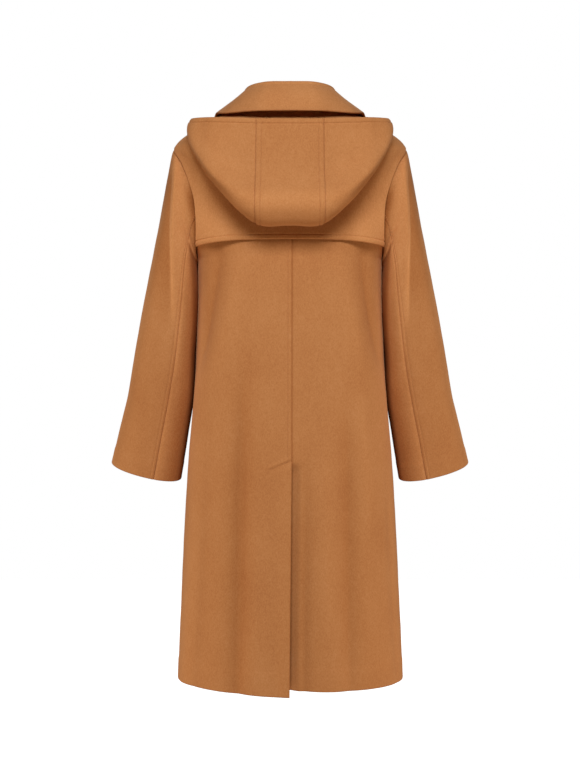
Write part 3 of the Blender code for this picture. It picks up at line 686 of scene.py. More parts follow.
def makeLeather():
    # brown cowhide, dyed through and waxed: a fine pebble, and a patina that is glossier in its dark patches
    stuff, shader = newMaterial("waxedCowhide", Roughness=0.5)
    place = addNode(stuff, "ShaderNodeTexCoord").outputs["Object"]
    pebble = addNode(stuff, "ShaderNodeTexVoronoi", {"Scale": 1000 / cowhide["pebbleMm"]}, {"Vector": place})
    patina = addNode(stuff, "ShaderNodeTexNoise", {"Scale": 1000 / cowhide["patinaMm"], "Detail": 4},
                     {"Vector": place}).outputs["Fac"]
    gloss = addNode(stuff, "ShaderNodeMapRange", cowhide["roughness"], {"Value": patina})
    bump = addNode(stuff, "ShaderNodeBump", {"Strength": 0.5, "Distance": cowhide["bumpMm"] / 1000},
                   {"Height": pebble.outputs["Distance"]})
    feed(stuff, shader, {"Base Color": colourRamp(stuff, patina, cowhide["shades"]),
                         "Roughness": gloss.outputs["Result"], "Normal": bump.outputs["Normal"]})
    return stuff


horn = {
    "shades": ((0.4, "#1B0F0A"), (0.58, "#3B2215"), (0.72, "#6E4A2E")),
    "growthMm": 2.2,
    "drawnOut": 0.12,
}


def makeHorn():
    # polished buffalo horn: nearly black, with brown growth streaks along it and a soft gloss
    stuff, shader = newMaterial("polishedHorn", **{
        "Roughness": 0.28, "Coat Weight": 0.3, "Coat Roughness": 0.15,
    })
    place = addNode(stuff, "ShaderNodeTexCoord").outputs["Object"]
    along = addNode(stuff, "ShaderNodeMapping", {"Scale": (horn["drawnOut"], 1, 1)}, {"Vector": place})
    growth = addNode(stuff, "ShaderNodeTexNoise", {"Scale": 1000 / horn["growthMm"], "Detail": 3},
                     {"Vector": along.outputs["Vector"]})
    feed(stuff, shader, {"Base Color": colourRamp(stuff, growth.outputs["Fac"], horn["shades"])})
    return stuff


woolMelton = makeWoolMelton()
thread = makeThread()
twistedCord = makeCord()
waxedCowhide = makeLeather()
polishedHorn = makeHorn()
print("materials made")


# the backs, with a seam down the centre and a vent below it

backs = {
    "cloth": 0.0028,
    "layerGap": 0.0008,
    "seamRounding": 0.0015,
    "ventRounding": 0.0017,
    "hemRounding": 0.0021,
    "stitchAway": 0.0074,
    "stitchRoll": (0.0004, 0.0007),     # how far the roll beside them rises and the channel dips
    "stitchesFrom": 0.006,              # over the vent's top
    "hemTurnUp": 0.040,
    # painted light: the cloth is painted lighter along the side edges beside the sleeves, and a little along
    # the side seams below: by how much, and over which shares of the way round and which heights it comes in
    "rubbed": ((0.40, (0.70, 0.90), (-0.52, -0.36)), (0.12, (0.55, 0.85), (-0.42, -0.54))),
    "ventFacing": 0.045,
    "ventDrop": 0.008,      # the left corner hangs this much lower than the hem
    "ventDropAcross": 0.7,
    "ventRise": 0.003,
    "ventRiseAcross": 0.3,
    "ventReach": 0.10,
    "ventTack": ((-0.0363, -0.6838), (0.0018, -0.6671)),   # the slanting stitches at its top
    "tackEnds": ((-0.12, 0.02), (0.99, 1.08)),      # shares of it over which its rolls come and go
    # the rolls beside the tack: how far off it, how wide and how high
    "tackRolls": ((0.0040, 0.0036, 0.0016), (-0.0008, 0.0018, -0.0007), (-0.005, 0.003, -0.0005)),
    "tackRise": 0.0002,
    "ventOpens": (0.42, 0.58),      # how open it is just under its top, and how much more at the hem
    "ventOpening": 0.017,
    "ventOpeningWidth": (-0.004, 0.020),
    "ventCurl": 0.0055,
    "ventCurlWidth": 0.030,
    "underVent": (-0.015, 0.012),   # where the right back steps in under the left, from the vent's top
    "underVentWidth": 0.055,
    "sewnFrom": (-0.004, 0.005),    # where the centre seam starts, from the vent's top
    "leastLap": 0.0004,
    "lapStart": 0.002,              # the right back's extension starts this far under the vent's top
    "lapGrows": 0.019,              # and is at its full width so much lower
    "seamPath": ((-1.095, -0.0008), (-0.672, 0.0035), (-0.20, 0.0041)),
    "seamPathWidth": 0.05,
    "armholeDip": {"depth": 0.0035, "away": 0.010, "width": 0.008, "height": -0.105, "reach": 0.040},
    # the cloth's unevenness here and all over the coat: how high, how long, how drawn out, how turned
    "waves": ((0.0006, 0.13, 2.5, 0.0), (0.00025, 0.045, 1.5, 1.0)),
    "rows": 150,
    "columns": 56,
    "tackRows": {"beyond": 0.006, "apart": 0.0011, "clear": 0.0006},
    "centreColumns": {"left": (0.042, 0.0022), "right": (0.03, 0.002)},    # how far out, and how far apart
}
backRounding = (backs["hemRounding"], backs["seamRounding"], backs["ventRounding"], backs["seamRounding"])


def centreShift(x, z):
    # the centre seam doesn't hang quite plumb
    path = np.array(backs["seamPath"])
    return x + np.interp(z, path[:, 0], path[:, 1]) * bell(x, 0, backs["seamPathWidth"])


def clothUnevenness(p):
    return sum(uneven(p, *wave) for wave in backs["waves"])


def armholeDip(x, z):
    # the cloth dips between the shoulder blade and the armhole's seam
    toSeam = smooth(z, torsoLevels[:, 0], torsoLevels[:, 1]) - np.abs(x)
    dip = backs["armholeDip"]
    return -dip["depth"] * bell(toSeam, dip["away"], dip["width"]) * bell(z, dip["height"], dip["reach"])


def bodyHeights():
    heights = panelHeights(torso["hem"], fineSteps(backs["hemRounding"]), backs["rows"])
    tack, rows = [z for _, z in backs["ventTack"]], backs["tackRows"]
    extra = np.arange(min(tack) - rows["beyond"], max(tack) + rows["beyond"], rows["apart"])
    kept = heights[(heights < extra[0] - rows["clear"]) | (heights > extra[-1] + rows["clear"])]
    return np.sort(np.concatenate([kept, extra]))


def aroundShare(fromCentre, widths, heights):
    # the share of the way from the centre to the side seam, whose line runs on up the armhole
    total = np.where(heights > torso["underarm"], np.interp(torso["underarm"], heights, widths), widths)
    return fromCentre / total[:, None], total[:, None]


# the painted light along the back's side edges
def rubbed(around, z):
    return sum(paintedShading * ease(np.abs(around), *span) * ease(z, *rows) for paintedShading, span, rows in backs["rubbed"])


def hemFuller(heights):
    # what the hem's turning adds to the cloth's thickness
    return turnings["hem"] * turnedIn(heights - torso["hem"], backs["hemTurnUp"])[:, None]


def backRows():
    # the rows' heights, and for each how near the hem it is, how far down the vent, how open the vent
    # hangs there and whether the centre seam is sewn there
    heights = bodyHeights()
    nearHem = (1 - ease(heights, torso["hem"], torso["hem"] + backs["ventReach"]))[:, None]
    down = np.clip((torso["ventTop"] - heights) / (torso["ventTop"] - torso["hem"]), 0, 1)[:, None]
    atTop, more = backs["ventOpens"]
    opens = ease(down, -0.01, 0.05) * (atTop + more * down)
    below, above = backs["sewnFrom"]
    sewn = ease(heights, torso["ventTop"] + below, torso["ventTop"] + above)[:, None]
    return heights, nearHem, down, opens, sewn


def tackRolls(grid):
    # the tack draws the cloth in on a slant, and the cloth rolls over it
    start, end = np.array(backs["ventTack"])
    way = unit(end - start)
    point = grid[..., [0, 2]] - start
    along = (point @ way) / np.linalg.norm(end - start)
    off = point @ np.array([-way[1], way[0]])
    before, after = backs["tackEnds"]
    rolls = sum(height * bell(off, place, width) for place, width, height in backs["tackRolls"])
    return ease(along, *before) * (1 - ease(along, *after)) * rolls


def tackLine(heights, total):
    # where the tack's stitches lie on the folded cloth
    tack = np.linspace(*np.array(backs["ventTack"]), 14)
    line = torsoPoint(tack[:, 0], tack[:, 1], "back")
    normals = torsoNormals(line)
    reach = np.interp(tack[:, 1], heights, total[:, 0])
    lift = foldField(bodyFolds, -np.abs(tack[:, 0]) / reach, tack[:, 1], reach)
    lift = lift + clothUnevenness(line) + backs["tackRise"]
    return line + normals * lift[:, None], normals


def makeBackLeft():
    heights, nearHem, down, opens, sewn = backRows()
    start = fineSteps(backs["seamRounding"], backs["stitchAway"])
    reach, apart = backs["centreColumns"]["left"]
    start = np.concatenate([start, np.arange(start[-1] + apart, reach, apart)])
    seam = fineSteps(backs["seamRounding"])
    grid, fromCentre, widths = panelGrid("back", heights, start, seam, backs["columns"])
    around, total = aroundShare(fromCentre, widths, heights)
    grid = torsoPoint(centreShift(-grid[..., 0], grid[..., 2]), grid[..., 2], "back")
    dropped = 1 - ease(fromCentre / widths[:, None], 0, backs["ventDropAcross"])
    grid[..., 2] -= backs["ventDrop"] * nearHem * dropped
    normals = torsoNormals(grid)
    folds = foldField(bodyFolds, -around, grid[..., 2], total)
    lift = folds + clothUnevenness(grid) + armholeDip(grid[..., 0], grid[..., 2]) + tackRolls(grid)
    stitched = stitchedEdge(fromCentre, backs["stitchAway"], *backs["stitchRoll"])
    lift += sewn * (stitched + seamGroove(fromCentre)) + seamGroove(widths[:, None] - fromCentre)
    lift += backs["ventCurl"] * opens * (1 - ease(fromCentre, 0, backs["ventCurlWidth"]))
    ventFacing = turnings["facing"] * turnedIn(fromCentre, backs["ventFacing"]) * ease(down, 0, 0.02)
    # painted shade in the folds' troughs and along the seam, and painted light on the ridges and on the side
    # edges by the sleeves
    paintedShading = foldPaintedShading(folds) + rubbed(around, grid[..., 2]) + seamPaintedShade(fromCentre)
    piece = shell("back_left_cloth", grid, normals, backs["cloth"], woolMelton, backRounding, lift,
                  1 + hemFuller(heights) + ventFacing, paintedShading)
    face = grid + normals * lift[..., None]
    keep = face[:, 0, 2] > torso["ventTop"] + backs["stitchesFrom"]
    line = lineAt(face[keep], fromCentre[keep], backs["stitchAway"], 1)
    runs = [(line, torsoNormals(line)), tackLine(heights, total)]
    threads = threadPiece("back_seam_stitches", runs, thread)
    clothPiece(piece)


def makeBackRight():
    # it has the extension that lies under the left back at the vent
    heights, nearHem, _, opens, sewn = backRows()
    grown = np.clip((torso["ventTop"] - backs["lapStart"] - heights) / backs["lapGrows"], 0, 1)[:, None]
    lapSteps = 1 - np.append(fineSteps(backs["hemRounding"]) / torso["lap"], np.linspace(0.2, 0.97, 9))
    laps = -(backs["leastLap"] + (torso["lap"] - backs["leastLap"]) * grown) * lapSteps
    reach, apart = backs["centreColumns"]["right"]
    start = np.concatenate([[0], np.arange(0.0012, reach, apart)])
    seam = fineSteps(backs["seamRounding"])
    grid, fromCentre, widths = panelGrid("back", heights, start, seam, backs["columns"], laps)
    around, total = aroundShare(fromCentre, widths, heights)
    grid = torsoPoint(centreShift(grid[..., 0], grid[..., 2]), grid[..., 2], "back")
    grid[..., 2] += backs["ventRise"] * nearHem * (1 - ease(np.abs(around), 0, backs["ventRiseAcross"]))
    normals = torsoNormals(grid)
    folds = foldField(bodyFolds, around, grid[..., 2], total)
    lift = folds + clothUnevenness(grid) + armholeDip(grid[..., 0], grid[..., 2])
    lift += seamGroove(widths[:, None] - fromCentre) + sewn * seamGroove(np.maximum(fromCentre, 0))
    first, last = backs["underVent"]
    inVent = (1 - ease(heights, torso["ventTop"] + first, torso["ventTop"] + last))[:, None]
    under = inVent * (1 - ease(fromCentre, 0, backs["underVentWidth"]))
    lift -= (backs["cloth"] + backs["layerGap"]) * under
    lift -= backs["ventOpening"] * opens * (1 - ease(fromCentre, *backs["ventOpeningWidth"]))
    # painted shade in the folds' troughs and along the seam, and painted light on the ridges and on the side
    # edges by the sleeves
    paintedShading = foldPaintedShading(folds) + rubbed(around, grid[..., 2]) + seamPaintedShade(fromCentre)
    piece = shell("back_right_cloth", grid, normals, backs["cloth"], woolMelton, backRounding, lift,
                  1 + hemFuller(heights), paintedShading)
    clothPiece(piece)


makeBackLeft()
makeBackRight()


# the fronts, right over left

fronts = {
    "cloth": 0.0028,
    "layerGap": 0.0008,
    "edgeRounding": 0.0021,
    "edgeStitch": 0.009,
    "facing": 0.075,
    "calm": (0.02, 0.09),      # the cloth lies flat by the lap, and has its folds from there on
    "underDrop": 1.4,          # how much deeper the left one lies under the right, in its thicknesses
    "underBlend": 0.06,
    "columns": 50,
}
frontRounding = (backs["hemRounding"], backs["seamRounding"], fronts["edgeRounding"], backs["seamRounding"])


def makeFronts():
    heights = panelHeights(torso["hem"], fineSteps(backs["hemRounding"]), backs["rows"])
    seam = fineSteps(backs["seamRounding"])
    edge = fineSteps(fronts["edgeRounding"], fronts["edgeStitch"])
    beyond = np.linspace(edge[-1], torso["lap"], 7)[1:-1]
    laps = np.tile(np.concatenate([edge, beyond]) - torso["lap"], (len(heights), 1))
    start = np.array([0.0, 0.004])
    base, fromCentre, widths = panelGrid("front", heights, start, seam, fronts["columns"], laps)
    around, total = aroundShare(fromCentre, widths, heights)
    fromEdge = fromCentre + torso["lap"]
    fuller = 1 + hemFuller(heights) + turnings["facing"] * turnedIn(fromEdge, fronts["facing"])
    free = ease(fromCentre, *fronts["calm"])
    for side, turn in (("right", 1), ("left", -1)):
        grid = base if turn > 0 else mirrored(base)
        normals = torsoNormals(grid)
        folds = foldField(bodyFolds, turn * (2 - around), grid[..., 2], total) * free
        lift = folds + clothUnevenness(grid) * free
        lift += stitchedEdge(fromEdge, fronts["edgeStitch"]) + seamGroove(widths[:, None] - fromCentre)
        if turn < 0:
            under = 1 - ease(fromCentre, torso["lap"], torso["lap"] + fronts["underBlend"])
            lift -= (fronts["cloth"] * fronts["underDrop"] + fronts["layerGap"]) * under
        # painted shade in the folds' troughs and painted light on their ridges
        piece = shell(f"front_{side}_cloth", grid, normals, fronts["cloth"], woolMelton, frontRounding,
                      lift, fuller, foldPaintedShading(folds))
        threads = []
        if turn > 0:
            line = lineAt(grid + normals * lift[..., None], fromEdge, fronts["edgeStitch"], 1)
            threads = [threadPiece("front_edge_stitches", [(line, torsoNormals(line))], thread)]
        clothPiece(piece)


makeFronts()


# the storm yoke, which hangs loose over the back

yoke = {
    "cloth": 0.0030,
    "seamGap": 0.0003,
    "rise": 0.007,
    "riseFades": 0.055,
    "arch": 3,
    "stitchAway": 0.010,
    "turnUp": 0.015,
    "sideInset": 0.0025,
    "hemRounding": 0.0021,
    "neckRounding": 0.0015,
    "sideRounding": 0.0018,
    "columns": 46,
    # painted light: the cloth is painted a little lighter towards its ends: by how much, and from where to
    # where
    "endTone": 0.17,
    "endToneX": (0.08, 0.16),
    "endToneZ": (-0.03, -0.15),
    # where its hem stands off the back: across, width, how far in mm
    "standsOff": ((-0.118, 0.026, 6.5), (0.131, 0.030, 6.0), (-0.03, 0.05, 2.0), (0.055, 0.035, 2.5)),
    "standsOffHigh": 0.085,
    "hangs": 0.003,            # how far all of its hem hangs off
    "hangsHigh": 0.07,
    "ends": (0.178, 0.148),    # at its ends it is held down
    "foldShare": 0.7,          # it takes over so much of the back's folds
    "pressMark": {"x": -0.0018, "width": 0.0016, "depth": 0.0005, "fades": (0.05, 0.03)},
}


def yokeLift(x, height):
    free = 1 - ease(height, torso["yokeHem"], torso["yokeHem"] + yoke["hangsHigh"])
    looser = 1 - ease(height, torso["yokeHem"], torso["yokeHem"] + yoke["standsOffHigh"])
    bulge = sum(mm / 1000 * bell(x, place, width) for place, width, mm in yoke["standsOff"])
    offEnds = ease(np.abs(x), *yoke["ends"])
    return yoke["seamGap"] + yoke["cloth"] + (yoke["hangs"] * free + bulge * looser) * offEnds


def makeYoke():
    hem = fineSteps(yoke["hemRounding"], yoke["stitchAway"])
    heights = panelHeights(torso["yokeHem"], hem, 0)[:-1]
    side = yoke["sideInset"] + fineSteps(yoke["sideRounding"])
    half, fromCentre, widths = panelGrid("back", heights, np.array([0.0, 0.003]), side, yoke["columns"])
    share = fromCentre / widths[:, None]
    level = np.broadcast_to(heights[:, None], share.shape)
    rise = yoke["rise"] * (1 - share ** yoke["arch"])
    rise = rise * (1 - ease(level, torso["yokeHem"], torso["yokeHem"] + yoke["riseFades"]))
    half = torsoPoint(half[..., 0], half[..., 2] + rise, "back")
    grid = whole(half)
    x, z = grid[..., 0], grid[..., 2]
    fromHem = np.concatenate([level[:, :0:-1], level], axis=1) - torso["yokeHem"]
    normals = torsoNormals(grid)
    around = np.concatenate([-share[:, :0:-1], share], axis=1)
    total = np.full((len(heights), 1), widths[0])
    lift = yokeLift(x, fromHem + torso["yokeHem"]) + clothUnevenness(grid) + armholeDip(x, z)
    lift += foldField(bodyFolds, around, z, total) * yoke["foldShare"]
    lift += stitchedEdge(fromHem, yoke["stitchAway"])
    mark = yoke["pressMark"]
    lift -= mark["depth"] * bell(x, mark["x"], mark["width"]) * ease(fromHem, *mark["fades"])
    rounding = (yoke["hemRounding"], yoke["neckRounding"], yoke["sideRounding"], yoke["sideRounding"])
    # with painted light towards its ends
    piece = shell("yoke_cloth", grid, normals, yoke["cloth"], woolMelton, rounding, lift,
                  1 + turnings["facing"] * turnedIn(fromHem, yoke["turnUp"]),
                  yoke["endTone"] * ease(np.abs(x), *yoke["endToneX"]) * ease(z, *yoke["endToneZ"]))
    line = lineAt(grid + normals * lift[..., None], fromHem, yoke["stitchAway"], 0)
    threads = threadPiece("yoke_stitches", [(line, torsoNormals(line))], thread)
    clothPiece(piece)


makeYoke()
print("body made")


# the sleeves, each of a top and an under piece

sleeves = {
    "cloth": 0.0028,
    "seamRounding": 0.0015,
    "cuffRounding": 0.0021,
    "seamShare": 0.78,
    "seamDepth": 1.1,            # its seams are this much deeper than the body's
    "stitchAway": 0.0068,
    "stitchRoll": (0.0006, 0.0006),
    "backSeam": 10,
    "frontSeam": 16,
    "stations": 26,
    "stationApart": 0.0165,
    "fineFrom": 2.6,             # from this station on the columns are close enough for the plumb fold
    "underColumns": 20,
    "topColumns": 46,
    "fineColumns": 62,
    "rows": 128,
    "ringPoints": 481,
    "turnsWithin": 0.012,        # the way over which the cloth turns from the shoulder's lie to its own
    "stitchesFrom": 4,           # rows down from the armhole
    "lowBackPast": 3,            # stations past the back seam
    "backY": (0.01, -0.03),      # from here on back it is the sleeve's back
    "headFullness": (0.0026, (0.0005, 0.008), (0.012, 0.05)),
    "cuffTurnUp": 0.035,
    # below the shoulder blade the armhole draws the sleeve in and the cloth stands up beside it: how far,
    # or for the painted shade in the crease how dark, how far down the sleeve, and how wide
    "lowBackZ": (-0.13, -0.19),
    "armholeCrease": (0.007, 0.002, 0.010),
    "creaseRoll": (0.002, 0.024, 0.012),
    "creaseTone": (-0.52, 0.004, 0.013),
    "foldGrown": 0.3,
    "foldFading": 0.6,
    # the fold that falls plumb from the shoulder's end: its heights and x, how sharp its edge is, how
    # far the cloth at it stands out, and how far back the cloth outside it lies, and for how wide; then the
    # painted highlight along its edge and the painted shade outside it, how strong, how wide and where they
    # start
    "plumbFold": {"z": (-0.43, -0.317, -0.228, -0.108), "x": (0.224, 0.2250, 0.2280, 0.2248),
                  "top": -0.080, "bottom": -0.44, "grown": 0.2, "fading": 0.55, "sharp": 0.0016,
                  "out": 0.0018, "outWidth": 0.005, "back": 0.0045, "width": 0.030,
                  "edgeTone": 0.26, "edgeToneWidth": 0.0030, "outerTone": -0.14,
                  "outerToneFrom": (0.001, 0.006), "outerToneWidth": 0.040},
    # inside that fold the cloth is painted lighter, as it is along the outer edge; the under piece is
    # painted lighter where it faces outwards and darker where it faces the body, and darkest, as painted
    # shade, by its edge beside the body. Each has how much it is painted lighter, or darker if negative, and
    # the spans over
    # which it comes in: how far inside the fold, or how squarely the cloth faces outwards or the body,
    # and between which heights.
    "headTone": (0.07, (0, -0.006), (-0.64, -0.46)),
    "rimTone": (0.16, (0.80, 1.0), (-0.12, -0.25)),
    "underTone": (0.12, (0.0, 0.7), (-0.30, -0.40)),
    "byBodyTone": (-0.34, (0.78, 0.97), (-0.16, -0.22)),
    "byBodyFuller": (0.0022, (0.3, 0.8), -0.54, 0.05),
}
# from the armhole down: outermost x and z, innermost x and z, the back seam's x, how far forward,
# half depth, lean in degrees, squareness
sleeveRings = np.array([
    (0.2310, -0.087, 0.1800, -0.2950, 0.1927, 0.002, 0.0690, 0, 2.3),
    (0.2405, -0.130, 0.1800, -0.3060, 0.1951, 0.003, 0.0720, 0, 2.4),
    (0.2530, -0.200, 0.1795, -0.3300, 0.2001, 0.004, 0.0750, 1, 2.5),
    (0.2670, -0.275, 0.1790, -0.3650, 0.2045, 0.006, 0.0750, 2, 2.6),
    (0.2855, -0.369, 0.1808, -0.4230, 0.2120, 0.010, 0.0715, 4, 2.6),
    (0.3025, -0.455, 0.1845, -0.4860, 0.2213, 0.017, 0.0670, 7, 2.5),
    (0.3200, -0.550, 0.1915, -0.5700, 0.2375, 0.030, 0.0610, 10, 2.3),
    (0.3370, -0.615, 0.2030, -0.6400, 0.2523, 0.042, 0.0560, 12, 2.2),
    (0.3540, -0.680, 0.2165, -0.7130, 0.2667, 0.055, 0.0520, 13, 2.1),
])
# station round the sleeve, and the armhole's height there
armholeStations = np.array([
    (0, -0.065), (2, -0.082), (4, -0.105), (6, -0.135), (8, -0.168), (10, -0.2015), (11, -0.234),
    (12, -0.263), (13, -0.285),
])
# station, start and end heights down the sleeve, depth in mm, width in mm, slant in stations
sleeveFolds = [
    (7.0, -0.36, -0.68, -2.0, 24, -0.6),
    (9.0, -0.30, -0.66, 1.5, 18, -0.6),
    (20.5, -0.12, -0.60, -2.2, 20, 1.2),
    (23.0, -0.20, -0.55, 2.0, 22, 0.8),
    (18.0, -0.34, -0.66, -2.0, 20, -0.8),
    (13.0, -0.265, -0.46, 1.6, 30, 0.0),
    (13.0, -0.42, -0.66, -1.5, 22, 0.4),
]


def armholeLoop(stations):
    s = np.mod(stations, sleeves["stations"])
    fromTop = np.minimum(s, sleeves["stations"] - s)
    share = (armholeStations[:, 1] - torso["underarm"]) / (torso["shoulder"] - torso["underarm"])
    z = armholeHeight(smooth(fromTop, armholeStations[:, 0], np.arccos(np.clip(1 - 2 * share, -1, 1))))
    x = smooth(z, torsoLevels[:, 0], torsoLevels[:, 1])
    y = np.where(s <= sleeves["stations"] / 2, -armholeDepth(z, "back"), armholeDepth(z, "front"))
    return np.stack([x, y, z], axis=-1)


def sleeveRing(ring, stations):
    outerX, outerZ, innerX, innerZ, seamX, forward, halfDepth, lean, squareness = ring
    outer = np.array([outerX, forward, outerZ])
    inner = np.array([innerX, forward, innerZ])
    lean = math.radians(lean)
    through = halfDepth * np.array([0, -math.cos(lean), -math.sin(lean)])
    turn = np.linspace(0, 2 * math.pi, sleeves["ringPoints"])
    cos = np.sign(np.cos(turn)) * np.abs(np.cos(turn)) ** (2 / squareness)
    sin = np.sign(np.sin(turn)) * np.abs(np.sin(turn)) ** (2 / squareness)
    line = (outer + inner) / 2 + cos[:, None] * (outer - inner) / 2 + sin[:, None] * through
    reach = lengths(line)
    half = sleeves["ringPoints"] // 2
    frontX = outerX + (innerX - outerX) * sleeves["seamShare"]
    backSeam = np.interp(-seamX, -line[:half + 1, 0], reach[:half + 1])
    frontSeam = np.interp(frontX, line[half:, 0], reach[half:])
    marks = (0, sleeves["backSeam"], sleeves["frontSeam"], sleeves["stations"])
    at = np.interp(np.mod(stations, sleeves["stations"]), marks, (0, backSeam, frontSeam, reach[-1]))
    return alongLine(line, at)


def sleeveStations():
    # the columns' stations round the sleeve, first the under piece's and then the top's, and how many
    # belong to the under piece
    plain = fineSteps(sleeves["seamRounding"]) / sleeves["stationApart"]
    stitched = fineSteps(sleeves["seamRounding"], sleeves["stitchAway"]) / sleeves["stationApart"]
    back, front, turns = sleeves["backSeam"], sleeves["frontSeam"], sleeves["stations"]
    fine = turns + sleeves["fineFrom"]
    under = np.concatenate([
        back + plain,
        np.linspace(back + plain[-1], front - plain[-1], sleeves["underColumns"])[1:-1],
        front - plain[::-1],
    ])
    top = np.concatenate([
        front + plain,
        np.linspace(front + plain[-1], fine, sleeves["topColumns"])[1:-1],
        np.linspace(fine, turns + back - stitched[-1], sleeves["fineColumns"])[:-1],
        turns + back - stitched[::-1],
    ])
    return np.concatenate([under, top[1:]]), len(under)


def sleeveForm(stations):
    # the sleeve's outer face, whose rows go down from the armhole, and the rows' distances from it
    loops = np.array([armholeLoop(stations)] + [sleeveRing(ring, stations) for ring in sleeveRings])
    apart = np.linalg.norm(np.diff(loops, axis=0), axis=2).mean(axis=1)
    known = np.concatenate([[0], np.cumsum(apart)])
    head, cuff = fineSteps(sleeves["seamRounding"]), fineSteps(sleeves["cuffRounding"])
    between = np.linspace(head[-1], known[-1] - cuff[-1], sleeves["rows"])[1:-1]
    rows = np.concatenate([head, between, known[-1] - cuff[::-1]])
    return smooth(rows, known, loops), rows


def sleeveNormals(grid, rows):
    # at the seam the sleeve's cloth lies as the body's does over the shoulder, which the ridge tells, and
    # turns from there
    normals = sheetNormals(grid)
    normals[:, 0] = normals[:, -1] = unit(normals[:, 0] + normals[:, -1])
    normals = facing(normals, grid, grid.mean(axis=1, keepdims=True))
    bodyNormals = torsoNormals(grid[0])
    away = np.cross(bodyNormals, unit(np.gradient(grid[0], axis=0)))
    away = away * np.sign(away[:, :1])
    ridge = ease((away * normals[6]).sum(axis=1), -0.15, 0.25)
    first = unit(ridge[:, None] * bodyNormals + (1 - ridge[:, None]) * normals[6])
    blend = ease(rows, 0, sleeves["turnsWithin"])[:, None, None]
    return unit(first[None] * (1 - blend) + normals * blend), ridge


def onBack(grid):
    return ease(grid[..., 1], *sleeves["backY"])


def plumbFold(grid):
    # how far it lifts the cloth, and its painted highlight and shade, with the sleeve head's painted light
    fold = sleeves["plumbFold"]
    z = grid[..., 2]
    beyond = grid[..., 0] - smooth(z, fold["z"], fold["x"])
    share = np.clip((z - fold["top"]) / (fold["bottom"] - fold["top"]), 0, 1)
    creased = onBack(grid) * ease(share, 0, fold["grown"]) * (1 - ease(share, fold["fading"], 1))
    lift = fold["out"] * bell(beyond, -3 * fold["sharp"], fold["outWidth"])
    lift -= fold["back"] / (1 + np.exp(-beyond / fold["sharp"])) * bell(beyond, 0, fold["width"])
    outer = ease(beyond, *fold["outerToneFrom"]) * bell(beyond, 0, fold["outerToneWidth"])
    paintedShading = creased * (fold["edgeTone"] * bell(beyond, 0.0002, fold["edgeToneWidth"])
                      + fold["outerTone"] * outer)
    headTone, inside, heights = sleeves["headTone"]
    return lift * creased, paintedShading + headTone * ease(beyond, *inside) * ease(z, *heights)


def sleeveFoldField(grid, s):
    perStation = np.linalg.norm(np.diff(grid, axis=1), axis=2).sum(axis=1)[:, None] / sleeves["stations"]
    half = sleeves["stations"] / 2
    folds = np.zeros(grid.shape[:2])
    for station, start, end, height, width, slant in sleeveFolds:
        share = np.clip((grid[..., 2] - start) / (end - start), 0, 1)
        off = np.mod(s - station - slant * share + half, sleeves["stations"]) - half
        across = off * perStation / (width / 1000)
        folds += height / 1000 * foldShape(share, across, sleeves["foldGrown"], sleeves["foldFading"])
    return folds


def underShadingAndFullness(cut, cutNormals):
    # the under piece's painted light and shade, and how much fuller it is beside the body
    inward, z = -cutNormals[..., 0], cut[..., 2]
    paintedShading, turned, heights = sleeves["underTone"]
    under = paintedShading * ease(z, *heights) * (1 - 2 * ease(inward, *turned))
    paintedShading, turned, heights = sleeves["byBodyTone"]
    byBody = paintedShading * ease(inward, *turned) * ease(z, *heights)
    fuller, turned, height, reach = sleeves["byBodyFuller"]
    return under + byBody, fuller * ease(inward, *turned) * bell(z, height, reach)


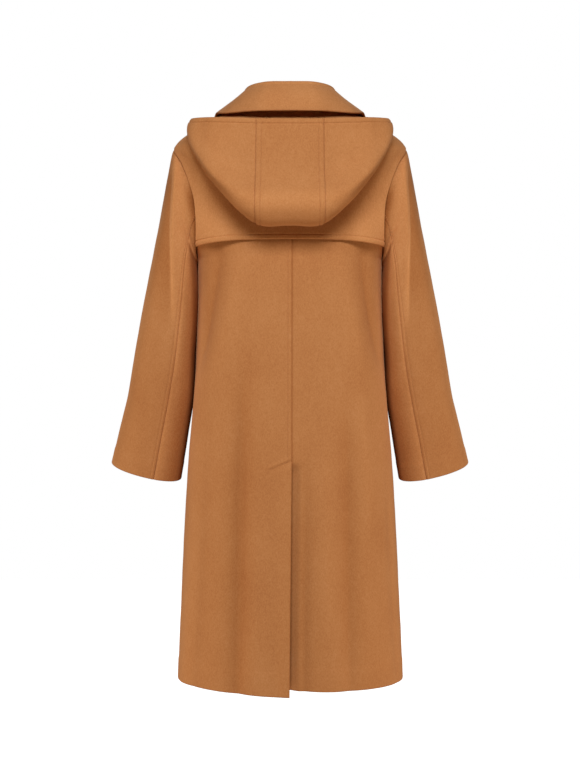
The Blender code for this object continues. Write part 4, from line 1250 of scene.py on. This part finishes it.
def makeSleeves():
    stations, underCount = sleeveStations()
    grid, rows = sleeveForm(stations)
    normals, ridge = sleeveNormals(grid, rows)
    down = rows[:, None]
    turns = sleeves["stations"]
    s = np.where(stations > turns, stations - turns, stations)[None]
    full, grows, fades = sleeves["headFullness"]
    lift = full * ease(down, *grows) * (1 - ease(down, *fades)) * ridge
    lift = lift + clothUnevenness(grid) * ease(down, 0, 0.02)
    lowBack = ease(grid[..., 2], *sleeves["lowBackZ"]) * onBack(grid)
    lowBack = lowBack * (s < sleeves["backSeam"] + sleeves["lowBackPast"])
    roll, rollAway, rollWidth = sleeves["creaseRoll"]
    crease, creaseAway, creaseWidth = sleeves["armholeCrease"]
    drawnIn = roll * bell(down, rollAway, rollWidth) - crease * bell(down, creaseAway, creaseWidth)
    folds = sleeveFoldField(grid, s)
    plumbLift, plumbPaintedShading = plumbFold(grid)
    lift = lift + lowBack * drawnIn + folds + plumbLift
    # painted highlight and shade at the plumb fold, painted shade and light at the folds, and painted shade
    # in the armhole's crease
    dark, darkAway, darkWidth = sleeves["creaseTone"]
    paintedShading = plumbPaintedShading + foldPaintedShading(folds) + dark * lowBack * bell(down, darkAway, darkWidth)
    fuller = 1 + turnings["hem"] * turnedIn(rows[-1] - down, sleeves["cuffTurnUp"])
    rounding = (sleeves["seamRounding"], sleeves["cuffRounding"], sleeves["seamRounding"],
                sleeves["seamRounding"])
    for part, columns in (("top", slice(underCount - 1, None)), ("under", slice(0, underCount))):
        cut, cutNormals = grid[:, columns], normals[:, columns]
        _, _, fromFirst, fromLast = distances(cut)
        seams = seamGroove(fromFirst) + seamGroove(fromLast)
        if part == "top":
            seams = seams + stitchedEdge(fromLast, sleeves["stitchAway"], *sleeves["stitchRoll"])
            # painted light along the top piece's outer edge, where it faces outwards
            rim, turned, heights = sleeves["rimTone"]
            paintedSleeveShading = rim * ease(cutNormals[..., 0], *turned) * ease(cut[..., 2], *heights)
            beside = 0
        else:
            paintedSleeveShading, beside = underShadingAndFullness(cut, cutNormals)
        rise = lift[:, columns] + sleeves["seamDepth"] * seams * ease(down, 0, 0.008) + beside
        for side, place in (("right", lambda p: p), ("left", mirrored)):
            piece = shell(f"sleeve_{side}_{part}_cloth", place(cut), place(cutNormals), sleeves["cloth"],
                          woolMelton, rounding, rise, fuller, paintedShading[:, columns] + paintedSleeveShading)
            threads = []
            if part == "top":
                line = lineAt(cut + cutNormals * rise[..., None], fromLast, sleeves["stitchAway"], 1)
                up = lineAt(cutNormals, fromLast, sleeves["stitchAway"], 1)
                run = tuple(place(values[sleeves["stitchesFrom"]:]) for values in (line, up))
                threads = [threadPiece(f"sleeve_{side}_stitches", [run], thread)]
            clothPiece(piece)


makeSleeves()
print("sleeves made")


# the neckline, and the collar and hood sewn to it

neck = {"points": 60, "spread": 0.04}
upward, flat = np.array([0.0, 0.0, 1.0]), np.array([1, 1, 0])


def neckLine():
    steps = np.array([0.0, 0.0005])
    back, front = (panelGrid(side, [0.0], steps, steps, neck["points"])[0][0] for side in ("back", "front"))
    return np.concatenate([back, front[-2::-1]])


def neckFrame(shares):
    # points on the neckline, and the level ways out from it, evened over its spread
    line = neckLine()
    total = lengths(line)[-1]
    points = alongLine(line, shares * total)
    reach = neck["spread"] * total
    ahead = alongLine(line, np.clip(shares * total + reach, 0, total))
    behind = alongLine(line, np.clip(shares * total - reach, 0, total))
    along = ahead - behind
    out = unit(np.stack([-along[:, 1], along[:, 0], np.zeros(len(shares))], axis=-1))
    return points, out * np.sign((out * points).sum(axis=-1, keepdims=True))


collar = {
    "cloth": 0.0044,      # two layers of the wool
    "rounding": 0.0022,
    "seamGap": 0.0003,
    "clearance": 0.0115,
    "end": 0.97,
    "foldRadius": 0.005,
    "foldRows": 11,
    "leafRows": 20,
    "columns": 74,
    "halfNeck": 0.19,     # half the neckline's length and the leaf's, to place the rows at its edges
    "leaf": 0.07,
    "waves": (0.0006, 0.09, 1.0, 2.0),
    "wavesFrom": (20, 30),      # rows over which the leaf's unevenness comes in
    "paintedShading": 0.045,              # painted light: the whole collar is painted a little lighter
}
# share of the half neckline, the fold's x, y and z, the free edge's x, y and z, and the crown
collarSections = np.array([
    (0.00, 0.000, -0.076, 0.042, 0.000, -0.118, -0.014, 0.004),
    (0.22, 0.048, -0.068, 0.042, 0.068, -0.106, -0.013, 0.004),
    (0.38, 0.074, -0.036, 0.040, 0.127, -0.062, -0.009, 0.001),
    (0.50, 0.079, -0.002, 0.034, 0.145, -0.004, -0.001, 0.001),
    (0.64, 0.074, 0.032, 0.020, 0.148, 0.046, -0.026, 0.006),
    (0.82, 0.048, 0.064, -0.020, 0.122, 0.092, -0.088, 0.006),
    (0.97, 0.016, 0.080, -0.060, 0.074, 0.120, -0.150, 0.004),
])


def makeCollar():
    rounded = fineSteps(collar["rounding"])
    ends = rounded / collar["halfNeck"]
    between = np.linspace(0, collar["end"] - ends[-1], collar["columns"])[:-1]
    shares = np.concatenate([between, collar["end"] - ends[::-1]])
    known = collarSections[:, 0]
    fold = smooth(shares, known, collarSections[:, 1:4])
    edge = smooth(shares, known, collarSections[:, 4:7])
    crown = smooth(shares, known, collarSections[:, 7])[:, None]
    base, out = neckFrame(shares)
    foot = base - out * backs["cloth"] / 2 + upward * collar["seamGap"]
    leafOut = unit((edge - fold) * flat)
    stand = np.append([0, 0.01, 0.03], np.linspace(0.08, 1, 9))
    rows = [foot + (fold - foot) * share for share in stand]
    for turn in np.linspace(0, math.pi, collar["foldRows"])[1:]:
        rise = upward * collar["foldRadius"] * math.sin(turn)
        rows.append(fold + leafOut * collar["foldRadius"] * (1 - math.cos(turn)) + rise)
    start = rows[-1]
    leaf = np.linspace(0, 0.92, collar["leafRows"])[1:]
    for share in np.concatenate([leaf, 1 - rounded[-2::-1] / collar["leaf"]]):
        bulge = (upward + leafOut) * crown * math.sin(math.pi * min(share, 1))
        place = start + (edge - start) * share + bulge
        rows.append(seated(place, collar["clearance"] + collar["cloth"] / 2))
    grid = whole(np.array(rows))
    normals = sheetNormals(grid)
    normals[0] = unit(normals[0] * flat)
    # on the leaf at the centre back they have to point back and up
    if normals[-8, grid.shape[1] // 2] @ np.array([0, -1, 0.5]) < 0:
        normals = -normals
    face = grid + normals * collar["cloth"] / 2
    lift = uneven(grid, *collar["waves"]) * ease(np.arange(len(grid)), *collar["wavesFrom"])[:, None]
    piece = shell("collar_cloth", face, normals, collar["cloth"], woolMelton, (collar["rounding"],) * 4,
                  lift, paintedShading=collar["paintedShading"])
    clothPiece(piece)


makeCollar()


hood = {
    "cloth": 0.0030,
    "clearance": 0.0065,
    "foot": 0.006,
    "footRun": 0.003,
    "footDrop": 0.014,
    "seam": 0.13,
    "perMetre": 2.03,       # share of the half neckline in a metre across the hood's back
    "footRounding": 0.0015,
    "rimRounding": 0.0024,
    "seamRounding": 0.0016,
    "stitchAway": 0.0100,
    "stitchRoll": (0.0005, 0.0009),
    "rimStitch": 0.0100,
    "rimRoll": (0.0006, 0.0009),
    "rimTurnIn": 0.015,
    "waves": (0.0007, 0.10, 1.2, 0.7),
    "stitchedRows": slice(30, -12),
    "rows": 84,
    "centreColumns": 14,
    "sideColumns": 76,
    "dentsFrom": (0.24, 0.20),     # from the rim, because the bag's inside has no dents
    # painted light: the cloth is painted a little lighter down both sides, and along the bottom fold
    "cheekTone": 0.03,
    "cheekX": (0.05, 0.12),
    "cheekZ": (-0.03, -0.09),
    "bottomTone": 0.08,
    "bottomZ": ((-0.165, -0.190), (-0.203, -0.216)),
    # soft dents and swellings of the hanging bag: across, height, widths both ways, depth in mm
    "dents": (
        (-0.020, -0.110, 0.020, 0.030, -2.2), (0.006, -0.150, 0.022, 0.030, -2.2),
        (0.030, -0.125, 0.016, 0.050, 1.6), (-0.112, -0.060, 0.030, 0.018, -2.0),
        (0.115, -0.058, 0.030, 0.018, -2.0), (0.0, -0.203, 0.075, 0.020, 3.0),
        (-0.150, -0.120, 0.020, 0.030, 1.5), (0.150, -0.120, 0.020, 0.030, 1.5),
    ),
}
# share of the half neckline, then x, y and z of the bottom fold, the lip outside it, the belly, the
# middle and the rim
hoodSections = np.array([
    (0.00, 0.000, -0.187, -0.2345, 0.000, -0.197, -0.2305, 0.000, -0.2135, -0.202,
     0.000, -0.199, -0.135, 0.000, -0.192, -0.041),
    (0.13, 0.064, -0.184, -0.2305, 0.064, -0.194, -0.2265, 0.064, -0.2125, -0.198,
     0.063, -0.192, -0.130, 0.062, -0.188, -0.040),
    (0.23, 0.113, -0.166, -0.1885, 0.1155, -0.182, -0.185, 0.118, -0.2025, -0.170,
     0.114, -0.182, -0.108, 0.112, -0.179, -0.037),
    (0.33, 0.156, -0.128, -0.131, 0.1595, -0.147, -0.1285, 0.163, -0.170, -0.117,
     0.159, -0.161, -0.078, 0.154, -0.158, -0.033),
    (0.42, 0.184, -0.083, -0.072, 0.1885, -0.093, -0.070, 0.193, -0.106, -0.060,
     0.193, -0.110, -0.040, 0.184, -0.107, -0.026),
    (0.48, 0.178, -0.026, -0.036, 0.182, -0.028, -0.034, 0.187, -0.030, -0.029,
     0.184, -0.032, -0.020, 0.172, -0.030, -0.013),
    (0.53, 0.142, 0.008, -0.013, 0.145, 0.0085, -0.012, 0.147, 0.009, -0.010,
     0.144, 0.007, -0.006, 0.137, 0.005, -0.004),
    (0.57, 0.104, 0.030, -0.008, 0.106, 0.0295, -0.0085, 0.108, 0.029, -0.009,
     0.112, 0.028, -0.010, 0.117, 0.026, -0.011),
])


def hoodGrid(shares):
    # the hood's outer face: rows go from the neck seam, down, round the bottom fold and up to the rim
    known = hoodSections[:, 0]
    fold, lip, belly, middle, rim = (
        smooth(shares, known, hoodSections[:, k:k + 3]) for k in (1, 4, 7, 10, 13)
    )
    base, out = neckFrame(shares)
    start = base + (out + upward) * hood["foot"]
    first = start + out * hood["footRun"] - upward * hood["footDrop"]
    halfway = seated((start + fold) / 2, hood["clearance"])
    chain = np.array([start, first, halfway, fold, lip, belly, middle, rim])
    rimSteps = fineSteps(hood["rimRounding"], hood["rimStitch"])
    columns = []
    for c in range(len(shares)):
        at = lengths(chain[:, c])
        inner = np.linspace(0, at[-1] - rimSteps[-1], hood["rows"])[:-1]
        columns.append(smooth(np.concatenate([inner, at[-1] - rimSteps[::-1]]), at, chain[:, c]))
    grid = np.array(columns).swapaxes(0, 1)
    grid[1:] = seated(grid[1:], hood["clearance"])
    return grid


def hoodShares():
    # the columns' shares of the half neckline, and how many belong to the centre piece
    seam, end = hood["seam"], hoodSections[-1, 0]
    plain = fineSteps(hood["seamRounding"]) * hood["perMetre"]
    stitched = fineSteps(hood["seamRounding"], hood["stitchAway"]) * hood["perMetre"]
    inner = np.linspace(0, seam - stitched[-1], hood["centreColumns"])[:-1]
    outer = np.linspace(seam + plain[-1], end, hood["sideColumns"])[1:]
    centre = np.concatenate([inner, seam - stitched[::-1]])
    return np.concatenate([centre, seam + plain[1:], outer]), centre.size


# the hood's painted light down its sides and along its bottom fold
def hoodPaintedLight(cut):
    x, z = np.abs(cut[..., 0]), cut[..., 2]
    start, end = hood["bottomZ"]
    cheeks = hood["cheekTone"] * ease(x, *hood["cheekX"]) * ease(z, *hood["cheekZ"])
    return cheeks + hood["bottomTone"] * ease(z, *start) * (1 - ease(z, *end))


def makeHood():
    shares, centreCount = hoodShares()
    half = hoodGrid(shares)
    grid = whole(half)
    normals = sheetNormals(grid)
    middle = half.shape[1] - 1
    # at the centre of the bag's outside they have to point back
    if normals[-30, middle, 1] > 0:
        normals = -normals
    fromNeck, fromRim, _, _ = distances(grid)
    lift = uneven(grid, *hood["waves"]) + stitchedEdge(fromRim, hood["rimStitch"], *hood["rimRoll"])
    outside = ease(fromRim, *hood["dentsFrom"])
    for x, z, wide, high, depth in hood["dents"]:
        lift = lift + depth / 1000 * bell(grid[..., 0], x, wide) * bell(grid[..., 2], z, high) * outside
    lift = lift * ease(fromNeck, 0.0, 0.03)
    fuller = 1 + turnings["facing"] * turnedIn(fromRim, hood["rimTurnIn"])
    rounding = (hood["footRounding"], hood["rimRounding"], hood["seamRounding"], hood["seamRounding"])
    reach = centreCount - 1
    spans = {
        "left": (0, middle - reach + 1),
        "centre": (middle - reach, middle + reach + 1),
        "right": (middle + reach, grid.shape[1]),
    }
    for part, (first, last) in spans.items():
        cut, cutNormals = grid[:, first:last], normals[:, first:last]
        _, _, fromFirst, fromLast = distances(cut)
        rise = lift[:, first:last].copy()
        threads = []
        if part == "centre":
            sides = (fromFirst, fromLast)
            for away in sides:
                rise += stitchedEdge(away, hood["stitchAway"], *hood["stitchRoll"]) + seamGroove(away)
            face = cut + cutNormals * rise[..., None]
            runs = [
                tuple(lineAt(values, away, hood["stitchAway"], 1)[hood["stitchedRows"]]
                      for values in (face, cutNormals))
                for away in sides
            ]
            threads = [threadPiece("hood_seam_stitches", runs, thread)]
        else:
            rise += seamGroove(fromLast if part == "left" else fromFirst)
        piece = shell(f"hood_{part}_cloth", cut, cutNormals, hood["cloth"], woolMelton, rounding, rise,
                      fuller[:, first:last], hoodPaintedLight(cut))
        if part == "right":
            face = grid + normals * lift[..., None]
            run = tuple(lineAt(values, fromRim, hood["rimStitch"], 0) for values in (face, normals))
            threads = [threadPiece("hood_rim_stitches", [run], thread)]
        clothPiece(piece)


makeHood()
print("collar and hood made")


# the fastening: on each row a loop on the right front, and a toggle on its tether on the left

fastening = {
    "heights": (-0.190, -0.335, -0.480, -0.625),
    "toggleX": -0.036,
    "toggleSides": 32,
    "loopReach": 0.012,
    "tetherReach": 0.006,
    "tetherRise": (0.30, 0.62),     # shares of its run over which it climbs on to the loop
    "cordRadius": 0.0015,
    "cordTuck": 0.004,
    "cordSides": 12,
    "cordRings": 0.0006,
    "loopSpread": 0.0068,
    "tetherSpread": 0.0034,
    "loopPatchX": 0.030,
    "tetherPatchX": -0.102,
    "patchWidth": 0.034,
    "patchHeight": 0.030,
    "leather": 0.0018,
    "leatherRounding": 0.0008,
    "patchRounding": 0.28,
    "patchStitchAway": 0.003,
    "patchStitches": (0.0004, 0.0009, 0.0002),    # how deep and wide they press in, and how deep they lie
    "overCord": ((1, 0.58), (-0.7, 0.1)),         # where a patch bulges over its cord: up or down, across
    "gap": 0.0003,
    "twist": 0.0055,      # a strand's full turn along the cord
    "strandDepth": 0.20,
}
# from the toggle's waist to its tip: along it, radius
toggleProfile = np.array([
    (0.0000, 0.0052), (0.0030, 0.0054), (0.0050, 0.0066), (0.0110, 0.0068), (0.0180, 0.0058),
    (0.0240, 0.0042), (0.0265, 0.0026), (0.0272, 0.0010),
])


def frontPoint(x, z, lift):
    p = torsoPoint(x, z, "front")
    return p + torsoNormals(p) * np.asarray(lift)[..., None]


def patchPoint(u, v, centreX, centreZ):
    # x and z for shares of a patch's half width and height, on an outline with bowed sides
    bow = fastening["patchRounding"]
    x = centreX + u * np.sqrt(1 - bow * v * v) * fastening["patchWidth"] / 2
    return x, centreZ + v * np.sqrt(1 - bow * u * u) * fastening["patchHeight"] / 2


def patchBulge(u, v, cordSide):
    # how far the leather lies off the cloth, with the cord's ends under it
    upright, across = fastening["overCord"]
    overCord = ease(np.abs(v), *upright) * ease(u * cordSide, *across)
    thick = 2 * fastening["cordRadius"] + fastening["gap"]
    return fastening["gap"] + fastening["leather"] + thick * overCord


def makePatch(name, centreX, centreZ, cordSide):
    steps = np.concatenate([[-1, -0.985, -0.95], np.linspace(-0.9, 0.9, 21), [0.95, 0.985, 1]])
    u, v = np.meshgrid(steps, steps)
    x, z = patchPoint(u, v, centreX, centreZ)
    halfHeight, away = fastening["patchHeight"] / 2, fastening["patchStitchAway"]
    depth, width, sunk = fastening["patchStitches"]
    inward = np.minimum(1 - np.abs(u), 1 - np.abs(v)) * halfHeight
    face = frontPoint(x, z, patchBulge(u, v, cordSide) - depth * bell(inward, away, width))
    normals = torsoNormals(torsoPoint(x, z, "front"))
    patch = shell(name, face, normals, fastening["leather"], waxedCowhide,
                  (fastening["leatherRounding"],) * 4)
    # the stitches run once round it
    side = np.linspace(-1, 1, 13)[:-1]
    along = np.ones(side.size)
    inset = 1 - away / halfHeight
    u = np.concatenate([side, along, -side, -along, [-1]]) * inset
    v = np.concatenate([-along, side, along, -side, [-1]]) * inset
    x, z = patchPoint(u, v, centreX, centreZ)
    line = frontPoint(x, z, patchBulge(u, v, cordSide) - sunk)
    return patch, (line, torsoNormals(torsoPoint(x, z, "front")))


def cordPath(startX, turnX, z, spread, startLift, turnLift):
    # out to the turn, round it and back, with the normals that it lies on
    way = math.copysign(1, turnX - startX)
    run = np.linspace(startX, turnX - way * spread, 40)
    bend = np.linspace(math.pi / 2, -math.pi / 2, 18)[1:-1]
    x = np.concatenate([run, run[-1] + way * spread * np.cos(bend), run[::-1]])
    legs = np.full(run.size, spread)
    rise = np.concatenate([legs, spread * np.sin(bend), -legs])
    climb = ease((x - startX) / (turnX - startX), *fastening["tetherRise"])
    line = frontPoint(x, z + rise, startLift + (turnLift - startLift) * climb)
    return line, torsoNormals(line)


def tubePiece(name, rings, stuff):
    # a tube through its rings, closed by flat ends
    count, sides = rings.shape[:2]
    ends = [tuple(range(sides - 1, -1, -1)), tuple(range((count - 1) * sides, count * sides))]
    return meshPiece(name, rings.reshape(-1, 3), tubeFaces(count, sides), stuff, ends)


def makeCordTube(name, line, normals, radius):
    total = lengths(line)[-1]
    at = np.linspace(0, total, int(total / fastening["cordRings"]))
    centre = alongLine(line, at)
    way = unit(np.gradient(centre, axis=0))
    side = unit(np.cross(unit(alongLine(line, at, normals)), way))
    up = unit(np.cross(way, side))
    # three strands, which show as ridges that wind round the cord
    turns = np.arange(fastening["cordSides"]) * 2 * math.pi / fastening["cordSides"]
    wound = 1.5 * (turns[None] - 2 * math.pi * at[:, None] / (3 * fastening["twist"]))
    reach = radius * (1 - fastening["strandDepth"] * (1 - np.abs(np.cos(wound))))
    return tubePiece(name, ringsRound(centre, side, up, reach), twistedCord)


def makeToggle(name, z, lift):
    centre = frontPoint(np.array(fastening["toggleX"]), np.array(z), lift)
    along = np.concatenate([np.linspace(0, 0.024, 22), np.linspace(0.0246, toggleProfile[-1, 0], 6)])
    radius = smooth(along, toggleProfile[:, 0], toggleProfile[:, 1])
    along = np.concatenate([-along[:0:-1], along])
    radius = np.concatenate([radius[:0:-1], radius])
    lengthwise, across, up = np.eye(3)[:, None]
    rings = ringsRound(centre + along[:, None] * lengthwise, across, up,
                       np.tile(radius[:, None], fastening["toggleSides"]))
    return tubePiece(name, rings, polishedHorn)


def fastenedPiece(piece, node):
    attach(piece, "root")
    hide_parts(node)


def makeFastening():
    radius, gap, tuck = fastening["cordRadius"], fastening["gap"], fastening["cordTuck"]
    patchX = {"loop": fastening["loopPatchX"], "tether": fastening["tetherPatchX"]}
    toggleX = fastening["toggleX"]
    onCloth = gap + radius
    overLoop = onCloth + 2 * radius + gap
    toggleLift = overLoop + radius + gap + toggleProfile[:, 1].max()
    stitches = []
    for number, z in enumerate(fastening["heights"], start=1):
        for kind, side in (("loop", -1), ("tether", 1)):
            patch, run = makePatch(f"{kind}_patch_{number}_leather", patchX[kind], z, side)
            fastenedPiece(patch, f"{kind}_patch_{number}")
            stitches.append(run)
        paths = {
            "loop": cordPath(patchX["loop"] - tuck, toggleX - fastening["loopReach"], z,
                             fastening["loopSpread"], onCloth, onCloth),
            "tether": cordPath(patchX["tether"] + tuck, toggleX + fastening["tetherReach"], z,
                               fastening["tetherSpread"], onCloth, overLoop),
        }
        for kind, (line, normals) in paths.items():
            cord = makeCordTube(f"{kind}_{number}_cord", line, normals, radius)
            fastenedPiece(cord, f"{kind}_{number}")
        toggle = makeToggle(f"toggle_{number}_horn", z, toggleLift)
        fastenedPiece(toggle, f"toggle_{number}")
    threadPiece("patch_stitches", stitches, twistedCord)


makeFastening()
print("fastening made")


# floor, backdrop and light

studio = {
    "floorZ": -1.43,
    "floorHalf": 4.0,
    "floorColour": "#F4F4F4",
    "floorGlow": 0.9,
    "domeRadius": 9.0,
    "domeRings": 25,
    "domeSides": 48,
    "ambient": 0.07,
    "ambientColour": "#FFC68C",     # the room's own light is warm beside the lamps'
    "lampColour": "#F6F9FF",
}
lamps = {
    "key": {"place": (0.0, -2.95, 1.45), "aim": (0, 0, -0.47), "size": (1.6, 1.0), "watts": 96},
    "low": {"place": (0.0, -3.4, -1.05), "aim": (0, 0, -0.55), "size": (2.6, 0.7), "watts": 15,
            "colour": "#FFE9CE"},
    "left": {"place": (-1.7, -0.35, -1.5), "aim": (0, 0, -0.7), "size": (1.2, 1.6), "watts": 16,
             "colour": "#FFEFDE"},
    "right": {"place": (1.7, -0.35, -1.5), "aim": (0, 0, -0.7), "size": (1.2, 1.6), "watts": 16,
              "colour": "#FFEFDE"},
    "front": {"place": (0.0, 3.0, 1.6), "aim": (0, 0, -0.45), "size": (2.2, 1.4), "watts": 50},
}


def plainMaterial(name, colour, glow):
    # matt painted board with an even glow of its own, so that it shows pale and without shadows
    return newMaterial(name, **{
        "Base Color": linear(colour), "Roughness": 0.9, "Specular IOR Level": 0.0,
        "Emission Color": (1, 1, 1, 1), "Emission Strength": glow,
    })[0]


def makeBackdrop():
    half, z = studio["floorHalf"], studio["floorZ"]
    corners = np.array([(-half, -half, z), (half, -half, z), (half, half, z), (-half, half, z)])
    floor = meshPiece("floor", corners, np.array([(0, 1, 2, 3)]),
                      plainMaterial("paleFloor", studio["floorColour"], studio["floorGlow"]))
    # a white dome that only the camera sees
    turns = np.linspace(0, 2 * math.pi, studio["domeSides"] + 1)[:-1]
    rises = np.linspace(-math.pi / 2, math.pi / 2, studio["domeRings"])
    points = np.array([
        (math.cos(t) * math.cos(r), math.sin(t) * math.cos(r), math.sin(r)) for r in rises for t in turns
    ]) * studio["domeRadius"]
    dome = meshPiece("backdrop", points, tubeFaces(studio["domeRings"], studio["domeSides"]),
                     plainMaterial("whiteBackdrop", "#000000", 1.0))
    for way in ("diffuse", "glossy", "transmission", "volume_scatter", "shadow"):
        setattr(dome, "visible_" + way, False)
        setattr(floor, "visible_" + way, False)


def makeLamp(name, place, aim, size, watts, colour=studio["lampColour"]):
    lamp = bpy.data.lights.new(name, "AREA")
    lamp.shape = "RECTANGLE"
    lamp.size, lamp.size_y = size
    lamp.energy = watts
    lamp.color = linear(colour)[:3]
    holder = bpy.data.objects.new(name, lamp)
    way = unit(np.array(aim) - np.array(place))
    holder.location = place
    holder.rotation_euler = (math.acos(-way[2]), 0, math.atan2(way[1], way[0]) - math.pi / 2)
    scene.collection.objects.link(holder)


def makeRoom():
    world = bpy.data.worlds.new("room")
    world.use_nodes = True
    background = world.node_tree.nodes["Background"]
    background.inputs["Color"].default_value = linear(studio["ambientColour"])
    background.inputs["Strength"].default_value = studio["ambient"]
    scene.world = world
    scene.view_settings.view_transform = "Standard"


makeBackdrop()
for name, lamp in lamps.items():
    makeLamp(name, **lamp)
makeRoom()
print("studio made")
